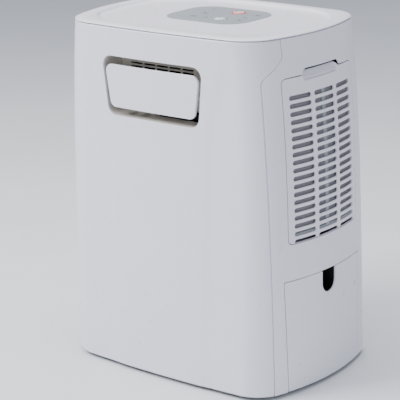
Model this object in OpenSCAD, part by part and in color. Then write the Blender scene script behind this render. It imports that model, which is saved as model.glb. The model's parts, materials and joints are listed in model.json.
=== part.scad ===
// Portable dehumidifier: two-part body shell, lid with keys, air outlet, filter panel,
// slide-out water tank, and the refrigeration and fan parts inside.
// Frame: +Z up, front faces -Y, intake and tank face +X, origin on the floor under the middle.

/* [Body] */
// Width between the bowed sides at the bottom edge
body_w = 453; // [420:1:545]
// Depth between the bowed front and back at the bottom edge
body_d = 317; // [300:1:381]
// Height from the bottom edge of the shell to the lid seam
body_h = 560; // [520:1:672]
// Height of the feet that show under the shell
foot_h = 6; // [4:0.5:10]
// Wall of the shells
wall = 2.5; // [2:0.1:3.5]
// Radius of the upright corners
corner_r = 36; // [30:1:44]
// How far the sides bow out
side_bow = 31; // [20:1:36]
// How far the front and back bow out
front_bow = 8; // [4:1:10]
// How far the sides swell with height
side_swell = 9; // [4:1:12]
// How far the sides draw in at the shoulder
shoulder_in = 22; // [12:1:26]
// How far the front leans back with height
front_lean = 22; // [12:1:24]
// How far the front comes forward again at the top
front_flare = 11; // [4:1:13]
// Distance of the seam between the shells from the middle
seam_y = 123; // [118:1:125]
// The same distance above the step in that seam
seam_top_y = 90; // [85:1:94]
// Gap at every seam between two outer pieces
seam_gap = 0.8; // [0.5:0.1:1.2]

/* [Lid] */
// Height of the lid above the seam
lid_rise = 5; // [4:0.5:8]
// Width of the raised rim
rim_w = 26; // [18:1:30]
// Radius of the sunk top plate's corners
rim_corner = 52; // [20:1:60]
// Depth of the sunk top plate below the rim
lid_recess = 4; // [2:0.5:5]
// Width of the control panel
panel_w = 158; // [140:1:190]
// Depth of the control panel
panel_d = 122; // [110:1:146]
// Offset of the control panel towards the back
panel_y = 18; // [10:1:24]
// Thickness of the control panel
panel_t = 2; // [1.6:0.1:3]
// Diameter of the power key
power_d = 24; // [18:1:30]
// Diameter of the other keys
key_d = 12; // [9:0.5:15]
// Travel of a key
key_travel = 0.6; // [0.3:0.1:0.9]
// Gap round a key
key_gap = 0.5; // [0.4:0.1:0.7]

/* [Air outlet] */
// Width of the outlet at its top edge
outlet_w = 203; // [160:1:220]
// Width lost by the outlet down to its bottom edge
outlet_taper = 20; // [0:1:30]
// Height of the outlet
outlet_h = 95; // [80:1:114]
// Height of the middle of the outlet above the shell's bottom edge
outlet_z = 467; // [455:1:470]
// Offset of the outlet from the middle
outlet_x = -7; // [-10:1:10]
// Corner radius of the outlet
outlet_r = 17; // [8:1:24]
// Depth of the outlet recess
outlet_depth = 44; // [42:1:50]
// Gap between flap and outlet at the sides
flap_side_gap = 6; // [3:0.5:9]
// Gap between flap and outlet above and below
flap_end_gap = 13; // [9:0.5:16]
// Thickness of the flap
flap_t = 3.5; // [3:0.1:5]
// Depth of the flap's pivot behind its face
pivot_in = 12; // [10:0.5:14]
// Depth of the recess floor in front of the well in its right part
floor_depth = 29; // [16:1:34]
// Height of the well's opening in the grille
well_h = 12; // [6:0.5:14]
// Diameter of the flap's pins
flap_pin_d = 5; // [4:0.5:6]

/* [Side openings] */
// Place of the middle of the side openings, forward of the body's middle
side_c = -6.5; // [-10:0.5:0]
// Width of the filter panel
grille_w = 176; // [150:1:180]
// Height of the filter panel
grille_h = 264; // [220:1:270]
// Height of the filter panel's lower edge above the shell's bottom edge
grille_z = 243; // [236:1:250]
// Rows of slots
slot_rows = 19; // [12:1:19]
// Pitch of the rows
slot_pitch = 12.5; // [11:0.1:12.5]
// Height of a slot
slot_h = 7.5; // [5:0.5:9]
// Width of the middle slots
slot_mid_w = 50; // [40:1:52]
// Width of the outer slots
slot_out_w = 45; // [36:1:46]
// Upright ribs between the slots
slot_rib = 6.5; // [4:0.5:8]
// Length of the finger scoop
scoop_w = 94; // [70:1:110]
// Height of the finger scoop
scoop_h = 20; // [16:1:24]
// Thickness of the air filter's frame
filter_t = 5; // [4:0.5:7]
// Width of the air filter's frame bars
filter_bar = 8; // [5:0.5:10]
// Width of the tank's front
tank_front_w = 196; // [180:1:200]
// Height of the tank's front
tank_front_h = 184; // [170:1:200]
// Width of the grip notch
notch_w = 34; // [26:1:44]
// Depth of the grip notch from the top edge
notch_h = 38; // [30:1:46]

/* [Water tank] */
// Length of the tank, along its travel
tank_l = 150; // [120:1:152]
// Width of the tank
tank_w = 170; // [140:1:172]
// Height of the tank
tank_h = 150; // [120:1:152]
// Wall of the tank
tank_wall = 2.2; // [1.8:0.1:3]
// Gap between the tank and its bay
bay_gap = 3; // [2:0.5:4]

/* [Coils] */
// Height of both coils
coil_h = 270; // [220:1:272]
// Width of both coils across the fins
coil_w = 190; // [160:1:196]
// Depth of one coil along the air's way
coil_t = 38; // [30:1:40]
// Diameter of the copper tube
tube_d = 8; // [6:0.5:9]
// Rows of tube in a coil
tube_rows = 8; // [6:1:9]
// Number of fins in a coil
fin_count = 31; // [20:1:40]
// Thickness of a fin
fin_t = 0.5; // [0.3:0.1:0.8]

/* [Fan] */
// Diameter of the impeller
fan_d = 168; // [140:1:172]
// Width of the impeller
fan_w = 96; // [80:1:100]
// Blades of the impeller
blade_count = 36; // [24:1:44]
// Gap between the impeller and the scroll's side walls
fan_gap = 8; // [5:0.5:12]
// Height of the fan's axis above the shell's bottom edge
fan_z = 394; // [386:1:400]
// Distance of the fan's axis behind the middle
fan_y = 20; // [10:1:24]
// Diameter of the motor's shaft
shaft_d = 8; // [6:0.5:10]
// Running clearance of shafts and pins, on the radius
run_gap = 0.05; // [0.03:0.01:0.08]

/* [Compressor] */
// Diameter of the compressor
comp_d = 104; // [90:1:116]
// Height of the compressor's can
comp_h = 176; // [150:1:190]

/* [Drain] */
// Outer diameter of the drain spigot
spigot_d = 12; // [10:0.5:16]
// Free length of the drain spigot
spigot_l = 20; // [14:1:26]

/* [Hidden] */
$fn = 48;

// Heights in the row frame
z0 = foot_h;
z_seam = z0 + body_h;
z_top = z_seam + lid_rise;
seam_step_low = 0.915;
seam_step_high = 0.948;
levels = [0, 0.3, 0.55, 0.72, 0.84, 0.93, 1];
n_corner = 8;
n_front = 5;
n_side = 8;

// Colours
white = "#e6e5ee";
grey = "#979ea4";
beige = "#a39c92";
black = "#1b1b1e";
copper = "#b87333";
metal = "#b9bdc1";

// The outlet, its recess and the grille behind it
t_outlet = outlet_z / body_h;
face_y = -(body_d / 2 - front_lean * t_outlet + front_flare * pow(t_outlet, 4));
frame_wall = 1.6;
frame_front = face_y + 3;
grille_y = face_y + outlet_depth;
grille_t = 3;
outlet_mid = z0 + outlet_z;
pivot_y = face_y + pivot_in;
ear_t = 3;
flap_half = outlet_w / 2 - outlet_taper / 4 - flap_side_gap;

// The fan, which blows through the left part of the outlet
fan_x = outlet_x - 15;
fan_axis_z = z0 + fan_z;
scroll_w = fan_w + 2 * fan_gap;
scroll_wall = 2;
scroll_r0 = fan_d / 2 + 7;
scroll_grow = 26;
scroll_left = fan_x - scroll_w / 2;
scroll_right = fan_x + scroll_w / 2;
motor_r = 44;
motor_l = 58;

// The intake side: coils, filter and window
coil_right = body_w / 2 - 38.5;
evap_x = coil_right - coil_t;
cond_x = evap_x - 7 - coil_t;
tray_wall = 2;
tray_floor_z = z0 + 229;
coil_z = tray_floor_z + 7;
window_z = z0 + grille_z;
window_mid = window_z + grille_h / 2;
scoop_z = window_z + grille_h;
scoop_gap = 2.5;
scoop_deep = 11;
scoop_floor = 1.5;

// The air filter, which follows the back of the filter panel
filter_edge = 6;
filter_depth = wall + 0.5;
filter_mesh_t = 1.2;
filter_low = window_z + filter_edge;
filter_high = scoop_z - scoop_h / 2 - 3;

// The tank and its bay
tank_x1 = body_w / 2 - 31.5;
pan_floor_z = z0 + 2;
pan_t = 3;
pan_rise = 30;
pan_inset = wall + 2;
tank_z = pan_floor_z + pan_t + 0.5;
tank_top = tank_z + tank_h;
bay_t = 2;
bay_back = tank_x1 - tank_l - bay_gap - bay_t;
bay_half = tank_w / 2 + bay_gap;
shelf_z = z0 + 184;
tank_slant = 7;
float_x = tank_x1 - tank_l + 16;
float_z = tank_top - 22;
float_pin_r = 1.5;

// The compressor, on the left
comp_x = -body_w / 2 + 118;
comp_y = 22;
comp_z = pan_floor_z + pan_t + 14;
comp_foot_r = comp_d / 2 + 14;

// Rear fittings
drain_x = body_w / 2 - 96;
drain_z = tray_floor_z + 10;
cord_x = -body_w / 2 + 78;
cord_z = z0 + 66;
cup_r = 19;
cup_depth = 14;

// Keys: name, place on the control panel, diameter
keys = [
  ["power_button", [16, 31], power_d],
  ["speed_button", [21, -25], key_d],
  ["timer_button", [-30, -30], key_d],
  ["mode_button", [-31, 2], key_d],
  ["up_button", [57, 26], key_d],
  ["down_button", [58, -22], key_d]];
lenses = [[-32, 36], [2, -27], [39, -20], [59, 2]];
lens_r = 2;
plate_top = z_top - lid_recess;
overlay_z = plate_top - 1.4;
board_z = z_seam - 14;

// ---- body surface ---------------------------------------------------------------------------

// Half sizes of the outline before it bows, at the height share t and a depth under the skin
function half_size(t, inset) = [
  body_w / 2 - side_bow + side_swell * t - shoulder_in * pow(t, 4) - inset,
  body_d / 2 - front_bow - front_lean * t + front_flare * pow(t, 4) - inset];

// The point of a rounded quarter outline at the distance s from the middle of the side
function quarter(h, r, s) =
  let (side = h.y - r, arc = PI * r / 2, a = (s - side) / r * 180 / PI)
  s <= side ? [h.x, s]
  : s >= side + arc ? [h.x - r - (s - side - arc), h.y]
  : [h.x - r + r * cos(a), h.y - r + r * sin(a)];

function bowed(p, h) = [
  p.x * (1 + side_bow / h.x * (1 - pow(p.y / h.y, 2))),
  p.y * (1 + front_bow / h.y * (1 - pow(p.x / h.x, 2)))];

// Distance along the quarter outline at which it is the distance y from the middle
function along_at(h, r, y) =
  y <= h.y - r ? y : h.y - r + r * PI / 180 * asin(min(1, (y - (h.y - r)) / r));

function spread(from, to, n) = [for (i = [0:n]) from + (to - from) * i / n];
function radius_at(inset) = max(6, corner_r - inset);

// Points round the right rear corner to the middle of the back
function wrap(h, r) =
  let (s0 = h.y - r, s1 = s0 + PI * r / 2, s2 = s1 + h.x - r)
  [for (s = concat(spread(s0, s1, n_corner), tail(spread(s1, s2, n_front))))
    bowed(quarter(h, r, s), h)];

// Points along the right side between two distances from the middle
function side_run(h, r, y_from, y_to, n) =
  [for (y = spread(y_from, y_to, n))
    let (q = quarter(h, r, along_at(h, r, abs(y)))) bowed([q.x, sign(y) * q.y], h)];

function turned(ps) = [for (i = [len(ps) - 1:-1:0]) ps[i]];
function flip_x(ps) = [for (p = turned(ps)) [-p.x, p.y]];
function flip_y(ps) = [for (p = ps) [p.x, -p.y]];
function tail(ps) = [for (i = [1:len(ps) - 1]) ps[i]];
function head(ps) = [for (i = [0:len(ps) - 2]) ps[i]];

// The whole outline, anticlockwise, with corners of the radius r
function ring(t, inset, r) =
  let (h = half_size(t, inset), corner = h.y - r, w = wrap(h, r),
       half = concat(turned(flip_y(w)), tail(side_run(h, r, -corner, corner, n_side)), tail(w)))
  concat(half, head(tail(flip_x(half))));
function skin(t, inset) = ring(t, inset, radius_at(inset));

// A closed solid through anticlockwise rings of equal length, one above the other
module loft(rings, heights) {
  n = len(rings[0]);
  m = len(rings);
  points = [for (k = [0:m - 1]) for (p = rings[k]) [p.x, p.y, heights[k]]];
  sides = [for (k = [0:m - 2]) for (i = [0:n - 1]) for (half = [0, 1])
    let (a = k * n + i, b = k * n + (i + 1) % n)
    half == 0 ? [a, a + n, b + n] : [a, b + n, b]];
  ends = [[for (i = [0:n - 1]) i], [for (i = [n - 1:-1:0]) (m - 1) * n + i]];
  polyhedron(points, concat(sides, ends));
}

function height_of(t) = z0 + t * body_h;
function share_of(z) = (z - z0) / body_h;

// Where the back's skin lies, the distance x from the middle
function back_at(x, t) = let (h = half_size(t, 0)) h.y + front_bow * (1 - pow(x / h.x, 2));

// A piece of the right side's skin between two edges in y, given for each height
module side_patch(edges, heights, outer, inner) {
  rings = [for (k = [0:len(heights) - 1])
    let (t = share_of(heights[k]), e = edges[k])
    concat(side_run(half_size(t, outer), radius_at(outer), e[0], e[1], n_side),
           turned(side_run(half_size(t, inner), radius_at(inner), e[0], e[1], n_side)))];
  loft(rings, heights);
}

// ---- helpers --------------------------------------------------------------------------------

// A flat shape in y and z, carried along X
module along_x(from, to) {
  translate([from, 0, 0]) rotate([90, 0, 90]) linear_extrude(to - from) children();
}

// A flat shape in x and z, carried along Y
module along_y(from, to) {
  translate([0, to, 0]) rotate([90, 0, 0]) linear_extrude(to - from) children();
}

// A round bar along X, Y or Z
module bar_x(from, to, r) { translate([from, 0, 0]) rotate([0, 90, 0]) cylinder(r = r, h = to - from); }
module bar_y(from, to, r) { translate([0, to, 0]) rotate([90, 0, 0]) cylinder(r = r, h = to - from); }
module bar_z(from, to, r) { translate([0, 0, from]) cylinder(r = r, h = to - from); }

module block(low, high) { translate(low) cube(high - low); }

module rounded(w, h, r) {
  square([w - 2 * r, h], center = true);
  square([w, h - 2 * r], center = true);
  for (sx = [-1, 1]) for (sy = [-1, 1]) translate([sx * (w / 2 - r), sy * (h / 2 - r)]) circle(r);
}

module pill(w, h) {
  square([w - h, h], center = true);
  for (s = [-1, 1]) translate([s * (w - h) / 2, 0]) circle(h / 2);
}

// ---- shells ---------------------------------------------------------------------------------

// The outlet's outline, wider at the top; grow moves every edge outward
module outlet_shape(grow_x, grow_z, r) {
  hull()
    for (sx = [-1, 1]) for (sz = [-1, 1])
      translate([sx * (outlet_w / 2 - (1 - sz) / 2 * outlet_taper / 2 + grow_x - r),
                 sz * (outlet_h / 2 + grow_z - r)]) circle(r, $fn = 32);
}

// Both shells in one, open at the top and the bottom
module whole_shell() {
  heights = [for (t = levels) height_of(t)];
  difference() {
    loft([for (t = levels) skin(t, 0)], heights);
    loft([for (t = levels) skin(t, wall)],
         [for (z = heights) z == z0 ? z0 - 1 : z == z_seam ? z_seam + 1 : z]);
  }
}

// Everything on one side of the stepped seam between the shells: front is 1 or -1
module seam_side(front) {
  low = -seam_y - front * seam_gap / 2;
  high = -seam_top_y - front * seam_gap / 2;
  far = -front * body_d;
  along_x(-body_w, body_w)
    polygon([[far, z0 - 5], [low, z0 - 5], [low, height_of(seam_step_low)],
             [high, height_of(seam_step_high)], [high, z_seam + 5], [far, z_seam + 5]]);
}

module front_cover() {
  color(white) difference() {
    intersection() {
      whole_shell();
      seam_side(1);
    }
    translate([outlet_x, 0, outlet_mid]) along_y(face_y - 30, face_y + 30)
      outlet_shape(frame_wall + 0.4, frame_wall + 0.4, outlet_r + frame_wall);
  }
}

module window_shape(grow) {
  translate([side_c, window_mid]) rounded(grille_w + 2 * grow, grille_h + 2 * grow, 8 + grow);
}

module tank_window() {
  half = tank_front_w / 2;
  top = z0 + tank_front_h;
  polygon([[side_c - half + tank_slant, z0 - 5], [side_c + half, z0 - 5], [side_c + half, top],
           [side_c - half, top], [side_c - half + tank_slant, z0]]);
}

module rear_screw_places() {
  for (s = [-1, 1]) {
    translate([s * (body_w / 2 - 84), 0, z0 + 22]) children();
    translate([s * (body_w / 2 - 84), 0, z_seam - 34]) children();
  }
}

module rear_housing() {
  color(white) difference() {
    intersection() {
      whole_shell();
      seam_side(-1);
    }
    along_x(body_w / 4, body_w) window_shape(seam_gap);
    along_x(body_w / 4, body_w) translate([side_c, scoop_z]) pill(scoop_w, scoop_h);
    along_x(body_w / 4, body_w) tank_window();
    translate([drain_x, 0, drain_z]) bar_y(body_d / 4, body_d, cup_r + 0.3);
    translate([cord_x, 0, cord_z]) bar_y(body_d / 4, body_d, 9.3);
    rear_screw_places() bar_y(body_d / 4, body_d, 2.3);
  }
}

module top_cover() {
  color(white) difference() {
    union() {
      translate([0, 0, z_seam + seam_gap]) linear_extrude(lid_rise - seam_gap) polygon(skin(1, 0.2));
      translate([0, 0, z_seam - 5]) linear_extrude(5 + seam_gap) polygon(skin(1, wall + 0.6));
      for (s = [-1, 1]) {
        x = s * (body_w / 2 - 84);
        y = back_at(x, 1) - wall - 1.5;
        block([x - 6, y - 12, z_seam - 42], [x + 6, y, z_seam - 4]);
      }
    }
    translate([0, 0, plate_top]) linear_extrude(20) polygon(ring(1, rim_w, rim_corner));
    difference() {
      translate([0, 0, z_seam - 6]) linear_extrude(plate_top - 2.5 - z_seam + 6)
        polygon(skin(1, wall + 2.8));
      for (s = [-1, 1]) {
        x = s * (body_w / 2 - 84);
        y = back_at(x, 1) - wall - 1.5;
        block([x - 6, y - 12, z_seam - 42], [x + 6, y, z_seam + 10]);
      }
    }
    translate([0, panel_y, overlay_z]) linear_extrude(20) rounded(panel_w + 0.4, panel_d + 0.4, 40);
    for (k = keys) translate([k[1].x, panel_y + k[1].y, 0])
      bar_z(z_seam - 10, z_top + 10, k[2] / 2 + key_gap);
    for (p = lenses) translate([p.x, panel_y + p.y, 0]) bar_z(z_seam - 10, z_top + 10, lens_r + 0.2);
    rear_screw_places() bar_y(body_d / 4, body_d, 2);
  }
}

// ---- control panel --------------------------------------------------------------------------

module control_panel() {
  color(grey) difference() {
    translate([0, panel_y, overlay_z]) linear_extrude(panel_t) rounded(panel_w, panel_d, 40);
    for (k = keys) translate([k[1].x, panel_y + k[1].y, 0])
      bar_z(z_seam - 10, z_top + 10, k[2] / 2 + key_gap);
    for (p = lenses) translate([p.x, panel_y + p.y, 0]) bar_z(z_seam - 10, z_top + 10, lens_r + 0.2);
  }
}

key_top = overlay_z + panel_t + key_travel;
key_low = overlay_z - 9;

module key(k) {
  translate([k[1].x, panel_y + k[1].y, 0]) {
    bar_z(key_low, key_top, k[2] / 2);
    bar_z(key_low, key_low + 1.5, k[2] / 2 + 1.5);
  }
}

module power_button() { color("#d9484f") key(keys[0]); }
module speed_button() { color("#e8e8ea") key(keys[1]); }
module timer_button() { color(grey) key(keys[2]); }
module mode_button() { color(grey) key(keys[3]); }
module up_button() { color(grey) key(keys[4]); }
module down_button() { color(grey) key(keys[5]); }

module indicator_lenses() {
  color("#cfe6d8") for (p = lenses) translate([p.x, panel_y + p.y, 0])
    bar_z(board_z + 3, overlay_z + panel_t + 0.2, lens_r);
}

module display_board() {
  color("#2f6b46") {
    translate([8, panel_y, board_z - 1.6]) linear_extrude(1.6) rounded(panel_w - 14, panel_d - 20, 6);
    for (k = keys) translate([k[1].x, panel_y + k[1].y, 0])
      bar_z(board_z, key_low - key_travel - 0.3, 3);
    for (p = lenses) translate([p.x, panel_y + p.y, 0]) bar_z(board_z, board_z + 2.6, lens_r);
    for (sx = [-1, 1]) for (sy = [-1, 1])
      translate([8 + sx * (panel_w / 2 - 14), panel_y + sy * (panel_d / 2 - 17), 0])
        bar_z(board_z, plate_top - 2.5, 3);
  }
}

// ---- air outlet -----------------------------------------------------------------------------

// The open well behind the right part of the recess floor
well_left = 26;

module outlet_well() {
  low = outlet_mid - outlet_h / 2;
  block([outlet_x - well_left, frame_front + floor_depth, low - frame_wall - 1],
        [outlet_x + outlet_w / 2 - outlet_taper / 2 - 4, grille_y + grille_t + 1, low + well_h]);
}

module outlet_frame() {
  color(beige) difference() {
    union() {
      translate([outlet_x, 0, outlet_mid]) along_y(frame_front, grille_y)
        outlet_shape(frame_wall, frame_wall, outlet_r + frame_wall);
      translate([outlet_x, 0, outlet_mid]) along_y(grille_y - 2.5, grille_y)
        outlet_shape(7, 7, outlet_r);
      for (s = [-1, 1]) translate([outlet_x, pivot_y, outlet_mid])
        bar_x(s > 0 ? flap_half + flap_side_gap - 1 : -flap_half - flap_side_gap - 5,
              s > 0 ? flap_half + flap_side_gap + 5 : -flap_half - flap_side_gap + 1,
              flap_pin_d / 2 + 2.5);
    }
    translate([outlet_x, 0, outlet_mid]) along_y(frame_front - 5, grille_y + 5)
      outlet_shape(0, 0, outlet_r);
    translate([outlet_x, pivot_y, outlet_mid]) bar_x(-outlet_w, outlet_w, flap_pin_d / 2);
    outlet_well();
  }
}

module flap_pins() {
  color(metal) for (s = [-1, 1]) translate([outlet_x, pivot_y, outlet_mid])
    bar_x(s > 0 ? flap_half - ear_t - 4 : -flap_half - flap_side_gap - 4.5,
          s > 0 ? flap_half + flap_side_gap + 4.5 : -flap_half + ear_t + 4, flap_pin_d / 2);
}

module outlet_flap() {
  color(white) difference() {
    union() {
      translate([outlet_x, 0, outlet_mid]) along_y(face_y, face_y + flap_t)
        outlet_shape(-flap_side_gap, -flap_end_gap, outlet_r - 5);
      for (s = [-1, 1]) translate([outlet_x + s * (flap_half - ear_t / 2 - 2), 0, outlet_mid])
        along_x(-ear_t / 2, ear_t / 2) {
          translate([pivot_y, 0]) circle(flap_pin_d / 2 + 2.5);
          translate([(pivot_y + face_y + flap_t / 2) / 2, 0])
            square([pivot_y - face_y - flap_t / 2, flap_pin_d + 5], center = true);
        }
    }
    translate([outlet_x, pivot_y, outlet_mid]) bar_x(-outlet_w, outlet_w, flap_pin_d / 2 + run_gap);
  }
}

grille_cols = 5;
grille_col_w = 24.2;
grille_rib = 2;
grille_bar = 2.5;
grille_row_h = 10;
grille_top_row_h = 3;
grille_rows = 4;
grille_span = grille_cols * (grille_col_w + grille_rib) - grille_rib;

module outlet_grille() {
  color(beige) difference() {
    translate([outlet_x, 0, outlet_mid]) along_y(grille_y, grille_y + grille_t)
      outlet_shape(7, 7, outlet_r);
    for (c = [0:grille_cols - 1]) {
      x = fan_x - grille_span / 2 + c * (grille_col_w + grille_rib);
      top = outlet_mid + outlet_h / 2 - 16.5;
      block([x, grille_y - 5, top - grille_top_row_h], [x + grille_col_w, grille_y + 9, top]);
      for (r = [0:grille_rows - 1]) {
        z = top - grille_top_row_h - (r + 1) * (grille_bar + grille_row_h);
        block([x, grille_y - 5, z], [x + grille_col_w, grille_y + 9, z + grille_row_h]);
      }
    }
    outlet_well();
  }
}

// ---- filter panel ---------------------------------------------------------------------------

module slots() {
  first = window_z + grille_h - 30;
  for (i = [0:slot_rows - 1]) translate([side_c, first - i * slot_pitch]) {
    pill(slot_mid_w, slot_h);
    for (s = [-1, 1])
      translate([s * (slot_mid_w / 2 + slot_rib + slot_out_w / 2), 0]) pill(slot_out_w, slot_h);
  }
}

// The cup behind the scoop, a little short of the notch above it
module scoop_cup(shrink, outer, inner) {
  edge = scoop_w / 2 + 4;
  hs = [scoop_z - scoop_h, scoop_z + scoop_h];
  intersection() {
    side_patch([for (z = hs) [side_c - edge, side_c + edge]], hs, outer, inner);
    along_x(body_w / 4, body_w) translate([side_c, scoop_z - scoop_gap / 2])
      pill(scoop_w - 2 * seam_gap - 2 * shrink, scoop_h - scoop_gap - 2 * shrink);
  }
}

panel_hs = [for (k = [0, 0.35, 0.7, 1]) window_z - 2 + k * (grille_h + 4)];
panel_edge = [side_c - grille_w / 2 - 4, side_c + grille_w / 2 + 4];

// The layer between two depths under the skin, over the filter panel
module panel_layer(outer, inner) { side_patch([for (z = panel_hs) panel_edge], panel_hs, outer, inner); }

module filter_panel() {
  color(white) difference() {
    union() {
      intersection() {
        panel_layer(0, wall);
        along_x(body_w / 4, body_w) window_shape(0);
      }
      scoop_cup(0, 0, scoop_deep);
    }
    along_x(body_w / 4, body_w) slots();
    scoop_cup(1.5, -5, scoop_deep - scoop_floor);
  }
}

// The two windows of the air filter's frame
module filter_windows() {
  w = (grille_w - 2 * filter_edge - 3 * filter_bar) / 2;
  h = filter_high - filter_low - 2 * filter_bar;
  for (s = [-1, 1]) translate([side_c + s * (w + filter_bar) / 2, (filter_low + filter_high) / 2])
    square([w, h], center = true);
}

module filter_frame() {
  w = grille_w - 2 * filter_edge;
  color(grey) difference() {
    intersection() {
      panel_layer(filter_depth, filter_depth + filter_t);
      along_x(body_w / 4, body_w) translate([side_c, (filter_low + filter_high) / 2])
        rounded(w, filter_high - filter_low, 5);
    }
    along_x(body_w / 4, body_w) filter_windows();
  }
}

module filter_mesh() {
  mid = filter_depth + filter_t / 2;
  color("#8c9096") intersection() {
    panel_layer(mid - filter_mesh_t / 2, mid + filter_mesh_t / 2);
    along_x(body_w / 4, body_w) filter_windows();
  }
}

// ---- water tank -----------------------------------------------------------------------------

tank_front_low = z0 + 0.5;
tank_front_high = z0 + tank_front_h - seam_gap;
tank_front_hs = [tank_front_low, (tank_front_low + tank_front_high) / 2, tank_front_high];
tank_front_edges = [for (z = tank_front_hs)
  [side_c - tank_front_w / 2 + seam_gap + tank_slant * (1 - (z - z0) / tank_front_h),
   side_c + tank_front_w / 2 - seam_gap]];

module tank_front() {
  color(white) difference() {
    side_patch(tank_front_edges, tank_front_hs, 0, wall);
    along_x(tank_x1 + 5, body_w) translate([side_c, tank_front_high - notch_h + notch_w / 2]) {
      circle(notch_w / 2);
      translate([-notch_w / 2, 0]) square([notch_w, notch_h]);
    }
  }
}

// Two upright webs that join the tank to the back of its front
bracket_y = 58;
bracket_t = 4;
bracket_gap = 0.25;

module tank_brackets() {
  color(white) intersection() {
    side_patch(tank_front_edges, tank_front_hs, wall + bracket_gap, body_w / 4);
    for (s = [-1, 1]) translate([0, side_c + s * bracket_y, 0])
      block([tank_x1, -bracket_t / 2, tank_z + 20], [body_w, bracket_t / 2, tank_z + 120]);
  }
}

module tank_grip() {
  half = notch_w / 2 + 5;
  low = z0 + tank_front_h - notch_h - 8;
  high = z0 + tank_front_h - 4;
  x1 = body_w / 2 - 3;
  color(black) difference() {
    block([tank_x1, side_c - half, low], [x1, side_c + half, high]);
    block([tank_x1 + 2, side_c - half + 2, low + 2], [x1 + 5, side_c + half - 2, high + 5]);
  }
}

module water_tank() {
  color("#cfd8e2") {
    difference() {
      translate([tank_x1 - tank_l / 2, side_c, tank_z]) linear_extrude(tank_h)
        rounded(tank_l, tank_w, 12);
      translate([tank_x1 - tank_l / 2, side_c, tank_z + tank_wall]) linear_extrude(tank_h)
        rounded(tank_l - 2 * tank_wall, tank_w - 2 * tank_wall, 12 - tank_wall);
    }
    difference() {
      for (s = [-1, 1])
        block([tank_x1 - tank_l + 1, side_c + s * 12 - 1.5, float_z - 4],
              [float_x + 4, side_c + s * 12 + 1.5, float_z + 4]);
      translate([float_x, 0, float_z]) bar_y(side_c - 30, side_c + 30, float_pin_r);
    }
  }
}

module tank_lid() {
  color(white) difference() {
    union() {
      translate([tank_x1 - tank_l / 2, side_c, tank_top]) linear_extrude(2.5)
        rounded(tank_l, tank_w, 12);
      translate([tank_x1 - tank_l / 2, side_c, tank_top - 4]) linear_extrude(4)
        rounded(tank_l - 2 * tank_wall - 0.4, tank_w - 2 * tank_wall - 0.4, 12 - tank_wall);
    }
    translate([tank_x1 - tank_l / 2, side_c, tank_top - 5]) linear_extrude(5)
      rounded(tank_l - 2 * tank_wall - 4.4, tank_w - 2 * tank_wall - 4.4, 8);
    translate([drip_x, side_c, 0]) bar_z(tank_top - 10, tank_top + 10, 18);
  }
}

module tank_float() {
  color("#e9e4d8") difference() {
    union() {
      translate([float_x, 0, float_z]) bar_y(side_c - 9, side_c + 9, 4);
      block([float_x, side_c - 5, float_z - 4], [float_x + 36, side_c + 5, float_z - 1]);
      translate([float_x + 52, side_c, float_z - 24]) linear_extrude(22) rounded(38, 36, 6);
    }
    translate([float_x, 0, float_z]) bar_y(side_c - 30, side_c + 30, float_pin_r + run_gap);
  }
}

module float_pin() {
  color(metal) translate([float_x, 0, float_z]) bar_y(side_c - 14, side_c + 14, float_pin_r);
}

module float_switch() {
  color(black) block([bay_back - 9, side_c - 12, float_z - 10], [bay_back, side_c + 12, float_z + 14]);
}

module tank_bay() {
  color("#d5d5dc") difference() {
    union() {
      block([bay_back, side_c - bay_half - bay_t, pan_floor_z + pan_t],
            [bay_back + bay_t, side_c + bay_half + bay_t, shelf_z]);
      for (s = [-1, 1])
        block([bay_back, side_c + s * (bay_half + bay_t / 2) - bay_t / 2, pan_floor_z + pan_t],
              [tank_x1 + 3, side_c + s * (bay_half + bay_t / 2) + bay_t / 2, shelf_z]);
      block([bay_back, side_c - bay_half - bay_t, shelf_z],
            [tank_x1 + 3, side_c + bay_half + bay_t, shelf_z + 2.5]);
    }
    translate([drip_x, side_c, 0]) bar_z(shelf_z - 5, shelf_z + 10, 11);
  }
}

// ---- base -----------------------------------------------------------------------------------

foot_places = [for (sx = [-1, 1]) for (sy = [-1, 1])
  [sx * (body_w / 2 - 56), sy * (body_d / 2 - 52)]];

module compressor_feet() {
  for (a = [0:2]) translate([comp_x, comp_y, 0]) rotate(a * 120 + 30)
    translate([comp_foot_r - 6, 0, 0]) children();
}

module base_pan() {
  color("#8f9296") difference() {
    translate([0, 0, pan_floor_z]) linear_extrude(pan_rise) polygon(skin(0, pan_inset));
    difference() {
      translate([0, 0, pan_floor_z + pan_t]) linear_extrude(pan_rise) polygon(skin(0, pan_inset + 2));
      compressor_feet() bar_z(pan_floor_z, pan_floor_z + pan_t + 4, 9);
      for (s = [-1, 1]) {
        x = s * (body_w / 2 - 84);
        block([x - 6, body_d / 2 - 22, pan_floor_z], [x + 6, body_d / 2, pan_floor_z + pan_rise]);
      }
    }
    block([tank_x1 - 12, side_c - tank_front_w / 2 - 2, pan_floor_z + pan_t],
          [body_w, side_c + tank_front_w / 2 + 2, z0 + 60]);
    for (p = foot_places) translate([p.x, p.y, 0]) bar_z(0, z0 + 20, 5);
    compressor_feet() bar_z(pan_floor_z - 1, pan_floor_z + 20, 3);
    rear_screw_places() bar_y(body_d / 4, body_d, 2);
  }
}

module foot(p) {
  color("#3a3b3e") translate([p.x, p.y, 0]) {
    bar_z(0, pan_floor_z, 15);
    bar_z(pan_floor_z, pan_floor_z + pan_t, 5);
  }
}
module foot_front_left() { foot(foot_places[0]); }
module foot_rear_left() { foot(foot_places[1]); }
module foot_front_right() { foot(foot_places[2]); }
module foot_rear_right() { foot(foot_places[3]); }

// ---- coils ----------------------------------------------------------------------------------

drip_x = cond_x + 15;

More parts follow.
